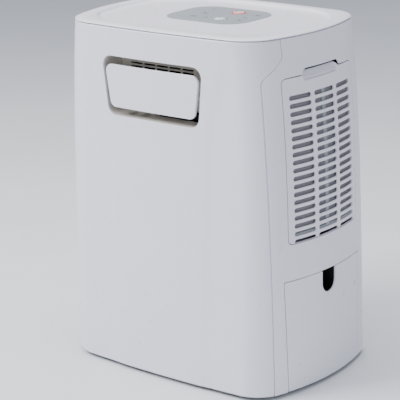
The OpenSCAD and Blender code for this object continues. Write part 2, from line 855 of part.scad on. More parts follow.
module drip_tray() {
  low = [cond_x - 6, -coil_w / 2 - 12, tray_floor_z];
  high = [coil_right + 4, coil_w / 2 + 12, tray_floor_z + 18];
  color("#e1e1e4") difference() {
    union() {
      block(low, high);
      for (x = [low.x + 8, high.x - 14]) for (s = [-1, 1])
        translate([x, side_c + s * 78, 0]) bar_z(shelf_z + 2.5, tray_floor_z + 1, 5);
      translate([drip_x, side_c, 0]) bar_z(tank_top + 8, tray_floor_z + 1, 8);
    }
    block(low + [tray_wall, tray_wall, tray_wall], high + [-tray_wall, -tray_wall, 5]);
    translate([drip_x, side_c, 0]) bar_z(tank_top, tray_floor_z + 10, 6);
    translate([drain_x, 0, drain_z]) bar_y(0, body_d, spigot_d / 2 - 2);
  }
}

tube_pitch = coil_h / tube_rows;
module coil_fins(x) {
  color(metal) for (i = [0:fin_count - 1])
    translate([x, -coil_w / 2 + i * (coil_w - fin_t) / (fin_count - 1), coil_z])
      cube([coil_t, fin_t, coil_h]);
}

// Two columns of tubes with return bends, joined at one open row by a cross bend
module coil_tubes(x, cross_z) {
  end = coil_w / 2 + 4;
  color(copper) translate([x + coil_t / 2, -end, cross_z]) rotate([0, 0, 180])
    rotate_extrude(angle = 180) translate([coil_t * (tube_col[1] - tube_col[0]) / 2, 0])
      circle(tube_d / 2, $fn = 24);
  color(copper) for (col = tube_col) translate([x + coil_t * col, 0, 0]) {
    for (r = [0:tube_rows - 1]) translate([0, 0, coil_z + (r + 0.5) * tube_pitch])
      bar_y(-end, end, tube_d / 2);
    for (r = [0:tube_rows - 2]) {
      s = r % 2 == 0 ? 1 : -1;
      translate([0, s * end, coil_z + (r + 1) * tube_pitch])
        rotate([0, 90, 0]) rotate([0, 0, s > 0 ? 0 : 180])
        rotate_extrude(angle = 180) translate([tube_pitch / 2, 0]) circle(tube_d / 2, $fn = 24);
    }
  }
}

module evaporator_fins() { coil_fins(evap_x); }
module evaporator_tubes() { coil_tubes(evap_x, row_high); }
module condenser_fins() { coil_fins(cond_x); }
module condenser_tubes() { coil_tubes(cond_x, row_low); }

module coil_end_plates() {
  color(metal) for (x = [evap_x, cond_x]) for (s = [-1, 1]) difference() {
    translate([x, s > 0 ? coil_w / 2 + 0.5 : -coil_w / 2 - 2, tray_floor_z + tray_wall])
      cube([coil_t, 1.5, coil_h + 5]);
    for (col = tube_col) for (r = [0:tube_rows - 1])
      translate([x + coil_t * col, 0, coil_z + (r + 0.5) * tube_pitch]) bar_y(-body_d, body_d, tube_d / 2);
  }
}

// ---- compressor -----------------------------------------------------------------------------

module compressor() {
  color("#2b2c2f") translate([comp_x, comp_y, 0]) {
    difference() {
      union() {
        bar_z(comp_z + 3, comp_z + comp_h - 14, comp_d / 2);
        translate([0, 0, comp_z + comp_h - 14]) cylinder(r1 = comp_d / 2, r2 = comp_d / 2 - 14, h = 14);
        for (a = [0:2]) rotate(a * 120 + 30) block([0, -12, comp_z], [comp_foot_r, 12, comp_z + 3]);
        bar_z(comp_z, comp_z + 3, comp_d / 2 - 6);
      }
      for (a = [0:2]) rotate(a * 120 + 30) translate([comp_foot_r - 6, 0, 0])
        bar_z(comp_z - 5, comp_z + 10, 4.5);
    }
    rotate(210) translate([0, 0, comp_z + comp_h - 2]) bar_z(0, 12, 14);
  }
}

module compressor_grommets() {
  color("#222") translate([comp_x, comp_y, 0]) for (a = [0:2]) rotate(a * 120 + 30)
    translate([comp_foot_r - 6, 0, 0]) difference() {
      union() {
        bar_z(pan_floor_z + pan_t + 4, comp_z, 9);
        bar_z(comp_z, comp_z + 3, 4.5);
        bar_z(comp_z + 3, comp_z + 6, 8);
      }
      bar_z(0, comp_z + 20, 3);
    }
}

module compressor_bolts() {
  color(metal) translate([comp_x, comp_y, 0]) for (a = [0:2]) rotate(a * 120 + 30)
    translate([comp_foot_r - 6, 0, 0]) {
      bar_z(pan_floor_z, comp_z + 6, 3);
      translate([0, 0, comp_z + 6]) cylinder(r = 6.5, h = 4.5, $fn = 6);
    }
}

acc_x = comp_x + comp_d / 2 + 26;
acc_y = comp_y + 8;
module accumulator() {
  color("#2b2c2f") translate([acc_x, acc_y, 0]) {
    bar_z(comp_z + 44, comp_z + 138, 19);
    bar_z(comp_z + 138, comp_z + 146, 12);
    block([comp_x + comp_d / 2 + 0.3 - acc_x, -6, comp_z + 82], [0, 6, comp_z + 94]);
  }
}

// A bent tube through points: straight bars with brazed joints a little fatter than the tube
joint_bead = 0.5;
module bent_tube(points, r) {
  for (i = [0:len(points) - 2]) {
    d = points[i + 1] - points[i];
    l = norm(d);
    translate(points[i]) rotate([0, acos(d.z / l), atan2(d.y, d.x)]) cylinder(r = r, h = l, $fn = 24);
    if (i > 0) translate(points[i]) sphere(r = r + joint_bead, $fn = 24);
  }
}

pipe_r = 4;
tube_col = [0.27, 0.73];
pipe_end_y = -coil_w / 2 - 4;
row_low = coil_z + tube_pitch / 2;
row_high = coil_z + coil_h - tube_pitch / 2;

// From the evaporator's lowest tube, under the coils, to the accumulator
module suction_pipe() {
  x = evap_x + coil_t * tube_col[0];
  y = -coil_w / 2 - 24;
  z = comp_z + 190;
  color(copper) bent_tube([[acc_x, acc_y, comp_z + 146], [acc_x, acc_y, z], [acc_x, y, z], [x, y, z],
    [x, y, row_low], [x, pipe_end_y, row_low]], pipe_r);
}

// From the compressor's top, under the coils and up beside them, to the condenser's highest tube
module discharge_pipe() {
  x = cond_x + coil_t * tube_col[0];
  rise_x = cond_x - 5;
  y = -coil_w / 2 - 17;
  z = comp_z + comp_h + 26;
  color(copper) bent_tube([[comp_x, comp_y, comp_z + comp_h + 10], [comp_x, comp_y, z], [comp_x, y, z],
    [rise_x, y, z], [rise_x, y, row_high], [x, y, row_high], [x, pipe_end_y, row_high]], pipe_r);
}

// From the condenser down past the drier to the evaporator's other column
module capillary_tube() {
  x0 = cond_x + coil_t * tube_col[1];
  x1 = evap_x - 3.5;
  x2 = evap_x + coil_t * tube_col[1];
  y = -coil_w / 2 - 29;
  color(copper) {
    bent_tube([[x0, pipe_end_y, row_high], [x0, y, row_high], [x1, y, row_high], [x1, y, row_low],
      [x2, y, row_low], [x2, pipe_end_y, row_low]], 1.5);
    translate([x1, y, 0]) bar_z(coil_z + coil_h * 0.4, coil_z + coil_h * 0.65, 7);
  }
}

// ---- fan ------------------------------------------------------------------------------------

mouth_top = outlet_mid + outlet_h / 2 - 15;
function scroll_point(a, grow) =
  let (r = scroll_r0 + scroll_grow * (a - 150) / 300 + grow) [fan_y + r * cos(a), fan_axis_z + r * sin(a)];

// The spiral and its straight mouth, in y and z
module scroll_shape(grow, mouth_y) {
  low = scroll_point(150, 0).y - 4;
  polygon(concat([for (a = [150:12:450]) scroll_point(a, grow)],
    [[mouth_y, fan_axis_z + scroll_r0 + scroll_grow + grow], [mouth_y, low - grow]]));
}

module fan_scroll() {
  mouth = grille_y + grille_t;
  color("#dcdce0") difference() {
    along_x(scroll_left - scroll_wall, scroll_right) scroll_shape(scroll_wall, mouth);
    along_x(scroll_left, scroll_right + 5) scroll_shape(0, mouth - 5);
    translate([0, fan_y, fan_axis_z]) bar_x(scroll_left - 10, scroll_right, 16);
    motor_screw_places() bar_x(scroll_left - 10, scroll_left + 10, 2);
  }
}

module fan_inlet_ring() {
  color("#dcdce0") difference() {
    union() {
      along_x(scroll_right, scroll_right + scroll_wall) scroll_shape(scroll_wall, grille_y + grille_t);
      translate([0, fan_y, fan_axis_z]) bar_x(scroll_right, scroll_right + 10, fan_d / 2 - 4);
    }
    translate([0, fan_y, fan_axis_z]) bar_x(scroll_right - 5, scroll_right + 20, fan_d / 2 - 8);
  }
}

hub_x = fan_x - fan_w / 2;
module fan_impeller() {
  color("#4a4d52") translate([0, fan_y, fan_axis_z]) difference() {
    union() {
      bar_x(hub_x, hub_x + 3, fan_d / 2);
      bar_x(hub_x, hub_x + 34, 14);
      difference() {
        bar_x(hub_x + fan_w - 4, hub_x + fan_w, fan_d / 2);
        bar_x(hub_x, hub_x + fan_w + 5, fan_d / 2 - 13);
      }
      for (i = [0:blade_count - 1]) rotate([i * 360 / blade_count, 0, 0])
        translate([hub_x + 1, 0, fan_d / 2 - 7]) rotate([28, 0, 0]) translate([0, -0.7, -5.5])
          cube([fan_w - 2, 1.4, 11]);
    }
    bar_x(hub_x - 5, hub_x + 50, shaft_d / 2);
  }
}

module motor_shaft() {
  color(metal) translate([0, fan_y, fan_axis_z])
    bar_x(scroll_left - scroll_wall - motor_l + 4, hub_x + 34, shaft_d / 2);
}

module motor_screw_places() {
  for (a = [45:90:315]) translate([0, fan_y + 34 * cos(a), fan_axis_z + 34 * sin(a)]) children();
}

module fan_motor() {
  x1 = scroll_left - scroll_wall;
  color("#6d7176") difference() {
    translate([0, fan_y, fan_axis_z]) {
      bar_x(x1 - motor_l, x1, motor_r);
      bar_x(x1 - motor_l - 5, x1 - motor_l, 14);
    }
    translate([0, fan_y, fan_axis_z]) bar_x(x1 - motor_l + 2, x1 + 5, shaft_d / 2 + run_gap);
    motor_screw_places() bar_x(x1 - 8, x1 + 5, 2);
  }
}

module motor_screws() {
  color(metal) motor_screw_places() {
    bar_x(scroll_left - scroll_wall - 8, scroll_left, 2);
    bar_x(scroll_left, scroll_left + 2, 3.6);
  }
}

// ---- electrics and rear fittings ------------------------------------------------------------

module control_box() {
  x = -body_w / 2 + 20;
  color("#cfd0d4") difference() {
    block([x, -96, z0 + 300], [x + 40, -6, z0 + 420]);
    block([x + 2, -94, z0 + 302], [x + 50, -8, z0 + 418]);
  }
}

module run_capacitor() {
  x = -body_w / 2 + 42;
  color("#d8d8d8") translate([x, -74, 0]) bar_z(z0 + 312, z0 + 382, 17);
}

// A cup sunk into the back, with the spigot in its middle
module drain_spigot() {
  t = share_of(drain_z);
  face = back_at(drain_x, t) + 1;
  floor_y = face - cup_depth;
  tip = floor_y + spigot_l;
  color(white) translate([drain_x, 0, drain_z]) difference() {
    union() {
      bar_y(floor_y - 2, face, cup_r);
      bar_y(coil_w / 2 + 12, floor_y, 6.5);
    }
    difference() {
      bar_y(floor_y, face + 5, cup_r - 2);
      bar_y(floor_y - 1, tip, spigot_d / 2);
    }
    bar_y(coil_w / 2, tip + 5, spigot_d / 2 - 2);
  }
}

module drain_plug() {
  t = share_of(drain_z);
  tip = back_at(drain_x, t) + 1 - cup_depth + spigot_l;
  color("#55585c") translate([drain_x, 0, drain_z]) bar_y(tip - 12, tip + 1.5, spigot_d / 2 - 2);
}

module cord_inlet() {
  t = share_of(cord_z);
  face = back_at(cord_x, t);
  color("#2a2b2d") translate([cord_x, 0, cord_z]) difference() {
    union() {
      bar_y(face - wall - 1.2, face + 1.2, 9);
      bar_y(face + 1.2, face + 3.4, 12);
      bar_y(face - wall - 3.4, face - wall - 1.2, 11);
    }
    bar_y(face - 20, face + 10, 3.6);
  }
}

module shell_screws() {
  color(metal) for (z = [z0 + 22, z_seam - 34]) for (s = [-1, 1]) {
    x = s * (body_w / 2 - 84);
    y = back_at(x, share_of(z)) + 0.4;
    translate([x, 0, z]) {
      bar_y(y - 16, y, 2);
      bar_y(y, y + 2.2, 4);
    }
  }
}

front_cover();
rear_housing();
top_cover();
control_panel();
display_board();
power_button();
speed_button();
timer_button();
mode_button();
up_button();
down_button();
indicator_lenses();
outlet_frame();
outlet_grille();
outlet_flap();
flap_pins();
filter_panel();
filter_frame();
filter_mesh();
tank_front();
tank_brackets();
tank_grip();
water_tank();
tank_lid();
tank_float();
float_pin();
float_switch();
tank_bay();
base_pan();
foot_front_left();
foot_front_right();
foot_rear_left();
foot_rear_right();
drip_tray();
evaporator_fins();
evaporator_tubes();
condenser_fins();
condenser_tubes();
coil_end_plates();
compressor();
accumulator();
compressor_grommets();
compressor_bolts();
discharge_pipe();
suction_pipe();
capillary_tube();
fan_scroll();
fan_inlet_ring();
fan_impeller();
motor_shaft();
fan_motor();
motor_screws();
control_box();
run_capacitor();
drain_spigot();
drain_plug();
cord_inlet();
shell_screws();
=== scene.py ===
import json
import math

import bmesh
import bpy
import numpy as np
from mathutils import Matrix, Vector, kdtree
from mathutils.geometry import delaunay_2d_cdt


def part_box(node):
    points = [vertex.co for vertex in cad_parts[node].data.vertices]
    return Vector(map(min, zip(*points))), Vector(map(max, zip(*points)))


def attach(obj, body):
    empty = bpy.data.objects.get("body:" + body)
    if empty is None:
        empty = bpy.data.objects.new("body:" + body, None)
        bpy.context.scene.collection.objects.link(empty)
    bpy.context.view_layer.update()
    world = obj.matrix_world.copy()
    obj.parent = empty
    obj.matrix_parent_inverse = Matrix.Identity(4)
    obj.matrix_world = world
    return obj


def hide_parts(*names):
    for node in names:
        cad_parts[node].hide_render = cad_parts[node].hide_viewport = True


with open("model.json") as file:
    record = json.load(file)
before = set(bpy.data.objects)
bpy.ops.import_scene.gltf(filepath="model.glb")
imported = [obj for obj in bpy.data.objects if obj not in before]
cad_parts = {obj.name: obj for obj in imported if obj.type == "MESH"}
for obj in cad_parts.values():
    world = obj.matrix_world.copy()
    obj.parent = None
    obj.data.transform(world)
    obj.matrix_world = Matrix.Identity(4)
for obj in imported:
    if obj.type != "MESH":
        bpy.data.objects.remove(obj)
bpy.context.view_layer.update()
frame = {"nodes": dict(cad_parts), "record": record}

# A portable dehumidifier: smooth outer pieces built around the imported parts. Metres throughout.

# ---- sizes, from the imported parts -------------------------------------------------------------

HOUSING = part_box("rear_housing")
Z0 = HOUSING[0].z
Z_SEAM = HOUSING[1].z
HEIGHT = Z_SEAM - Z0
DEPTH = 2 * HOUSING[1].y
Z_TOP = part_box("top_cover")[1].z

# The body's curves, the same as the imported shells'
CORNER_R = 0.036
SIDE_BOW = 0.031
FRONT_BOW = 0.008
SIDE_SWELL = 0.009
SHOULDER = 0.022
WIDTH = -2 * (HOUSING[0].x + max(SIDE_SWELL * t - SHOULDER * t**4 for t in np.linspace(0, 1, 201)))
LEAN = 0.022
FLARE = 0.011
WALL = 0.0025
GAP = 0.0012
SEAM_Y = -0.123
SEAM_TOP_Y = -0.0885
SEAM_BEND = (0.885, 0.958)

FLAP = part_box("outlet_flap")
FLAP_SIDE = 0.006
FLAP_END = 0.013
FLAP_PROUD = 0.0006
OUTLET_TAPER = 0.020
OUTLET_R = 0.017
OUTLET_MID = Vector(((FLAP[0].x + FLAP[1].x) / 2, FLAP[0].y, (FLAP[0].z + FLAP[1].z) / 2))
OUTLET_W = FLAP[1].x - FLAP[0].x + 2 * FLAP_SIDE
OUTLET_H = FLAP[1].z - FLAP[0].z + 2 * FLAP_END

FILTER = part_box("filter_frame")
FILTER_INSET = 0.006
SIDE_C = (FILTER[0].y + FILTER[1].y) / 2
PANEL_W = FILTER[1].y - FILTER[0].y + 2 * FILTER_INSET
PANEL_LOW = FILTER[0].z - FILTER_INSET
PANEL_HIGH = FILTER[1].z + FILTER_INSET
SCOOP = (0.094, 0.020)
SCOOP_GAP = 0.0025
SCOOP_DEEP = 0.0095
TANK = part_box("tank_front")
TANK_SLANT = 0.007
NOTCH = (0.034, 0.038)


# ---- the body's skin --------------------------------------------------------------------------

def smoothstep(a, b, x):
    s = np.clip((x - a) / (b - a), 0, 1)
    return s * s * (3 - 2 * s)


def half_sizes(z):
    t = np.clip((z - Z0) / HEIGHT, 0, 1)
    hx = WIDTH / 2 - SIDE_BOW + SIDE_SWELL * t - SHOULDER * t**4
    hy = DEPTH / 2 - FRONT_BOW - LEAN * t + FLARE * t**4
    return hx, hy


def quarter(z):
    """Length of the unbowed outline from the middle of the front to the middle of the side."""
    hx, hy = half_sizes(z)
    return hx + hy + (math.pi / 2 - 2) * CORNER_R


def outline(q, z):
    """The skin's x and y, the distance q round from the middle of the front, anticlockwise from above."""
    hx, hy = half_sizes(z)
    length = quarter(z)
    q = (q + 2 * length) % (4 * length) - 2 * length
    s = np.abs(q)
    behind = s > length
    s = np.where(behind, 2 * length - s, s)
    front = hx - CORNER_R
    a = np.clip((s - front) / CORNER_R, 0, math.pi / 2)
    px = np.where(s < front, s, front + CORNER_R * np.sin(a))
    py = CORNER_R - hy - CORNER_R * np.cos(a) + np.maximum(s - front - CORNER_R * math.pi / 2, 0)
    x = np.sign(q) * px * (1 + SIDE_BOW / hx * (1 - (py / hy) ** 2))
    y = py * (1 + FRONT_BOW / hy * (1 - (px / hx) ** 2))
    return x, np.where(behind, -y, y)


# Share of the height, and distance from the middle of the front
CREASE = [(0.0, 0.092), (0.40, 0.094), (0.64, 0.0985), (0.75, 0.1055),
          (0.84, 0.119), (0.90, 0.129), (0.96, 0.1425)]
CREASE_RISE = 0.0016
CREASE_SOFT = 0.011


def crease_rise(q, z):
    """The front stands a little proud between two soft creases that open out at the top."""
    t = (z - Z0) / HEIGHT
    edge = np.interp(t, [c[0] for c in CREASE], [c[1] for c in CREASE])
    return CREASE_RISE * (1 - smoothstep(edge - CREASE_SOFT, edge + CREASE_SOFT, np.abs(q)))


def raw_skin(q, z):
    x, y = outline(q, z)
    return np.stack([x, y, z], -1)


def normals_of(surface, q, z, step=4e-4):
    du = surface(q + step, z) - surface(q - step, z)
    dv = surface(q, z + step) - surface(q, z - step)
    n = np.cross(du, dv)
    return n / np.linalg.norm(n, axis=-1, keepdims=True)


def creased_skin(q, z):
    return raw_skin(q, z) + normals_of(raw_skin, q, z) * crease_rise(q, z)[..., None]


def placer(surface, from_side):
    """A function from (u, z, depth) to points and normals.
    u starts at the middle of the front, or of the right side."""
    def place(u, z, depth):
        u, z = np.asarray(u, float), np.asarray(z, float)
        q = u + (quarter(z) if from_side else 0)
        n = normals_of(surface, q, z)
        return surface(q, z) - n * np.reshape(depth, (-1, 1)), n
    return place


on_front = placer(creased_skin, False)
on_side = placer(raw_skin, True)


def seam_line(z, shift):
    """Distance q, on the right, of the line at the seam's y plus a shift."""
    t = (z - Z0) / HEIGHT
    y = SEAM_Y + (SEAM_TOP_Y - SEAM_Y) * smoothstep(*SEAM_BEND, t) + shift
    low, high = np.zeros_like(z), quarter(z) + 0 * z
    for _ in range(40):
        mid = (low + high) / 2
        below = outline(mid, z)[1] < y
        low, high = np.where(below, mid, low), np.where(below, high, mid)
    return low


# ---- outlines in the plane --------------------------------------------------------------------

def area(loop):
    x, y = loop.T
    return 0.5 * np.sum(x * np.roll(y, -1) - np.roll(x, -1) * y)


def anticlockwise(loop):
    return loop if area(loop) > 0 else loop[::-1]


def clockwise(loop):
    return anticlockwise(loop)[::-1]


def dense(loop, step):
    """The closed loop with long edges cut so that none is over the step."""
    out = []
    for a, b in zip(loop, np.roll(loop, -1, 0)):
        n = max(1, math.ceil(np.linalg.norm(b - a) / step - 1e-6))
        out += [a + (b - a) * i / n for i in range(n)]
    return np.array(out)


def rounded(points, radii, segments=8):
    """A polygon with its corners rounded. radii is one number or one for each corner."""
    points = np.array(points, float)
    radii = np.broadcast_to(radii, len(points))
    out = []
    for p, before, after, r in zip(points, np.roll(points, 1, 0), np.roll(points, -1, 0), radii):
        a, b = before - p, after - p
        a, b = a / np.linalg.norm(a), b / np.linalg.norm(b)
        half = math.acos(np.clip(a @ b, -1, 1)) / 2
        if r <= 0 or half > math.pi / 2 - 1e-3:
            out.append(p)
            continue
        middle = (a + b) / np.linalg.norm(a + b)
        centre = p + middle * r / math.sin(half)
        start = p + a * r / math.tan(half) - centre
        sweep = math.pi - 2 * half
        turn = -1 if a[0] * b[1] - a[1] * b[0] > 0 else 1
        for i in range(segments + 1):
            c, s = math.cos(turn * sweep * i / segments), math.sin(turn * sweep * i / segments)
            out.append(centre + [c * start[0] - s * start[1], s * start[0] + c * start[1]])
    return np.array(out)


def box_loop(x0, x1, y0, y1, r, segments=8):
    return rounded([(x0, y0), (x1, y0), (x1, y1), (x0, y1)], r, segments)


def circle(x, y, r, segments=32):
    a = np.arange(segments) / segments * 2 * math.pi
    return np.stack([x + r * np.cos(a), y + r * np.sin(a)], -1)


def inward(loop):
    """Unit steps towards the left of the way the loop runs, longer at corners."""
    d = np.roll(loop, -1, 0) - loop
    d /= np.linalg.norm(d, axis=1, keepdims=True)
    n = np.stack([-d[:, 1], d[:, 0]], -1)
    both = n + np.roll(n, 1, 0)
    both /= np.linalg.norm(both, axis=1, keepdims=True)
    return both / np.maximum(np.sum(both * n, 1), 0.5)[:, None]


def inside(points, loop):
    x, y = points.T
    hit = np.zeros(len(points), bool)
    for (x0, y0), (x1, y1) in zip(loop, np.roll(loop, -1, 0)):
        if y0 == y1:
            continue
        cross = ((y0 > y) != (y1 > y)) & (x < (x1 - x0) * (y - y0) / (y1 - y0) + x0)
        hit ^= cross
    return hit


# ---- meshes ------------------------------------------------------------------------------------

class Sheets:
    """Collects faces with a normal for each corner, so that curved skins shade exactly."""

    def __init__(self):
        self.points, self.faces, self.normals, self.count = [], [], [], 0

    def add(self, points):
        self.points.append(np.asarray(points, float))
        self.count += len(points)
        return np.arange(self.count - len(points), self.count)

    def face(self, ids, normals):
        self.faces.append([int(i) for i in ids])
        self.normals += [tuple(n) for n in normals]

    def strip(self, a, b, na, nb, closed=True):
        """Quads between two rows of points; a is on the left of the way they run, seen from outside."""
        n = len(a)
        for i in range(n if closed else n - 1):
            j = (i + 1) % n
            self.face((a[i], b[i], b[j], a[j]), (na[i], nb[i], nb[j], na[j]))

    def build(self, name, material):
        mesh = bpy.data.meshes.new(name)
        mesh.from_pydata(np.concatenate(self.points).tolist(), [], self.faces)
        mesh.polygons.foreach_set("use_smooth", [True] * len(mesh.polygons))
        mesh.normals_split_custom_set(self.normals)
        mesh.materials.append(material)
        mesh.update()
        piece = bpy.data.objects.new(name, mesh)
        bpy.context.scene.collection.objects.link(piece)
        return piece


def triangles(loops, step, keep_clear=0.6, grid=None):
    """Points and triangles that fill the first loop and leave out the others."""
    rims = np.concatenate(loops)
    tree = kdtree.KDTree(len(rims))
    for i, p in enumerate(rims):
        tree.insert((p[0], p[1], 0), i)
    tree.balance()
    low, high = rims.min(0), rims.max(0)
    if grid is None:
        xs = np.arange(low[0] + step / 2, high[0], step)
        ys = np.arange(low[1] + step / 2, high[1], step)
        grid = np.array([(x + (step / 2 if k % 2 else 0), y) for k, y in enumerate(ys) for x in xs])
    keep = inside(grid, loops[0]) if len(grid) else np.zeros(0, bool)
    for hole in loops[1:]:
        keep &= ~inside(grid, hole)
    grid = grid[keep]
    grid = np.array([p for p in grid if tree.find((p[0], p[1], 0))[2] > keep_clear * step]).reshape(-1, 2)
    edges, start = [], 0
    for loop in loops:
        n = len(loop)
        edges += [(start + i, start + (i + 1) % n) for i in range(n)]
        start += n
    points = np.concatenate([rims, grid])
    out = delaunay_2d_cdt([Vector(p) for p in points], edges, [], 0, 1e-7)
    back = [o[0] if o else -1 for o in out[3]]
    tris = np.array([[back[i] for i in f] for f in out[2]])
    tris = tris[(tris >= 0).all(1)]
    middle = points[tris].mean(1)
    keep = inside(middle, loops[0])
    for hole in loops[1:]:
        keep &= ~inside(middle, hole)
    tris = tris[keep]
    a, b, c = points[tris[:, 0]], points[tris[:, 1]], points[tris[:, 2]]
    turn = (b - a)[:, 0] * (c - a)[:, 1] - (b - a)[:, 1] * (c - a)[:, 0]
    tris[turn < 0] = tris[turn < 0][:, ::-1]
    return points, tris[np.abs(turn) > 1e-13]


def shell(name, place, loops, material, step=0.006, fillet=0.0006, wall=WALL, segments=3,
          spacing=None, grid=None):
    """A closed curved plate. Its outer face fills the first loop but not the holes, and its rims are rounded.
    fillet is a radius, or a function of a loop's points that gives one for each."""
    loops = [anticlockwise(loops[0])] + [clockwise(h) for h in loops[1:]]
    loops = [dense(l, spacing or step) for l in loops]
    radii = [fillet(l) if callable(fillet) else np.full(len(l), fillet) for l in loops]
    steps = [inward(l) for l in loops]
    tops = [l + s * f[:, None] for l, s, f in zip(loops, steps, radii)]
    points, tris = triangles(tops, step, grid=grid)
    s = Sheets()
    skin, skin_n = place(points[:, 0], points[:, 1], 0)
    ids = s.add(skin)
    for t in tris:
        s.face(ids[t], skin_n[t])
    under, under_n = place(points[:, 0], points[:, 1], wall)
    under_ids = s.add(under)
    for t in tris[:, ::-1]:
        s.face(under_ids[t], -under_n[t])
    start = 0
    for l, d, f in zip(loops, steps, radii):
        n = len(l)
        edge = place(l[:, 0], l[:, 1], 0)[0]
        outward = edge - skin[start:start + n]
        outward /= np.linalg.norm(outward, axis=1, keepdims=True)
        last, last_n = ids[start:start + n], skin_n[start:start + n]
        for k in range(1, segments + 1):
            a = math.pi / 2 * k / segments
            p = l + d * (f * (1 - math.sin(a)))[:, None]
            row, row_n = place(p[:, 0], p[:, 1], f * (1 - math.cos(a)))
            row_n = row_n * math.cos(a) + outward * math.sin(a)
            row_ids = s.add(row)
            s.strip(last, row_ids, last_n, row_n)
            last, last_n = row_ids, row_n
        foot = s.add(place(l[:, 0], l[:, 1], wall)[0])
        s.strip(last, foot, outward, outward)
        down = -under_n[start:start + n]
        s.strip(foot, under_ids[start:start + n], down, down)
        start += n
    return s.build(name, material)


def flat(z_at):
    """A placer for a level plate: u and v are x and y, and depth goes down."""
    def place(u, v, depth):
        p = np.stack([u, v, np.full(len(u), z_at) - depth], -1)
        return p, np.tile((0.0, 0.0, 1.0), (len(u), 1))
    return place


def facing_front(y_at):
    """A placer for an upright plate that faces the front: u and v are x and z."""
    def place(u, v, depth):
        p = np.stack([u, np.full(len(u), y_at) + depth, v], -1)
        return p, np.tile((0.0, -1.0, 0.0), (len(u), 1))
    return place


# ---- materials ---------------------------------------------------------------------------------

def base_material(name, colour, rough, **sockets):
    """A material with its shader and object coordinates; returns it, its nodes and a linking function."""
    m = bpy.data.materials.new(name)
    m.use_nodes = True
    nodes, link = m.node_tree.nodes, m.node_tree.links.new
    shader = nodes["Principled BSDF"]
    shader.inputs["Base Color"].default_value = (*colour, 1)
    shader.inputs["Roughness"].default_value = rough
    for key, value in sockets.items():
        shader.inputs[key.replace("_", " ")].default_value = value
    where = nodes.new("ShaderNodeTexCoord")
    return m, shader, nodes, link, where.outputs["Object"]


def noise(nodes, link, where, scale, detail=2.0, stretch=None):
    if stretch:
        spread = nodes.new("ShaderNodeMapping")
        spread.inputs["Scale"].default_value = stretch
        link(where, spread.inputs["Vector"])
        where = spread.outputs["Vector"]
    n = nodes.new("ShaderNodeTexNoise")
    n.inputs["Scale"].default_value = scale
    n.inputs["Detail"].default_value = detail
    link(where, n.inputs["Vector"])
    return n.outputs["Fac"]


def remap(nodes, link, value, low, high, cut=(0.3, 0.7)):
    r = nodes.new("ShaderNodeMapRange")
    r.inputs["From Min"].default_value, r.inputs["From Max"].default_value = cut
    r.inputs["To Min"].default_value, r.inputs["To Max"].default_value = low, high
    link(value, r.inputs["Value"])
    return r.outputs["Result"]


def tint(nodes, link, value, a, b, cut=(0.3, 0.7)):
    r = nodes.new("ShaderNodeValToRGB")
    r.color_ramp.elements[0].position, r.color_ramp.elements[1].position = cut
    r.color_ramp.elements[0].color, r.color_ramp.elements[1].color = (*a, 1), (*b, 1)
    link(value, r.inputs["Fac"])
    return r.outputs["Color"]


def bump(nodes, link, shader, height, strength, distance):
    b = nodes.new("ShaderNodeBump")
    b.inputs["Strength"].default_value = strength
    b.inputs["Distance"].default_value = distance
    link(height, b.inputs["Height"])
    link(b.outputs["Normal"], shader.inputs["Normal"])


def shade(colour, k):
    return tuple(min(1.0, c * k) for c in colour)


def moulded(name, colour, rough=0.36, grain=2600, depth=0.00003, vary=0.03, **sockets):
    """Moulded plastic: a fine spark-eroded grain, faint flow marks and uneven gloss."""
    m, shader, nodes, link, where = base_material(name, colour, rough, **sockets)
    flow = noise(nodes, link, where, 9, 3)
    link(tint(nodes, link, flow, shade(colour, 1 - vary), shade(colour, 1 + vary)), shader.inputs["Base Color"])
    link(remap(nodes, link, noise(nodes, link, where, 60, 4), rough * 0.9, rough * 1.12), shader.inputs["Roughness"])
    bump(nodes, link, shader, noise(nodes, link, where, grain, 1), 0.35, depth)
    return m


def brushed(name, colour, rough=0.32, along=(1, 1, 30), vary=0.08):
    """Plated or rolled metal with fine lines one way."""
    m, shader, nodes, link, where = base_material(name, colour, rough, Metallic=1.0)
    lines = noise(nodes, link, where, 160, 4, along)
    link(tint(nodes, link, lines, shade(colour, 1 - vary), shade(colour, 1 + vary)), shader.inputs["Base Color"])
    link(remap(nodes, link, lines, rough * 0.8, rough * 1.3), shader.inputs["Roughness"])
    bump(nodes, link, shader, lines, 0.25, 0.00004)
    return m


def enamel(name, colour, rough=0.28):
    """Sprayed paint with a slight orange peel."""
    m, shader, nodes, link, where = base_material(name, colour, rough)
    shader.inputs["Coat Weight"].default_value = 0.4
    shader.inputs["Coat Roughness"].default_value = 0.12
    peel = noise(nodes, link, where, 420, 2)
    link(tint(nodes, link, noise(nodes, link, where, 12, 3), shade(colour, 0.9), shade(colour, 1.1)), shader.inputs["Base Color"])
    bump(nodes, link, shader, peel, 0.3, 0.0001)
    return m


def copper_tube():
    m, shader, nodes, link, where = base_material("copper_drawn", (0.72, 0.36, 0.22), 0.3, Metallic=1.0)
    stain = noise(nodes, link, where, 45, 5)
    link(tint(nodes, link, stain, (0.42, 0.20, 0.12), (0.80, 0.42, 0.27), (0.35, 0.6)), shader.inputs["Base Color"])
    link(remap(nodes, link, stain, 0.48, 0.22), shader.inputs["Roughness"])
    bump(nodes, link, shader, noise(nodes, link, where, 300, 3), 0.2, 0.00005)
    return m


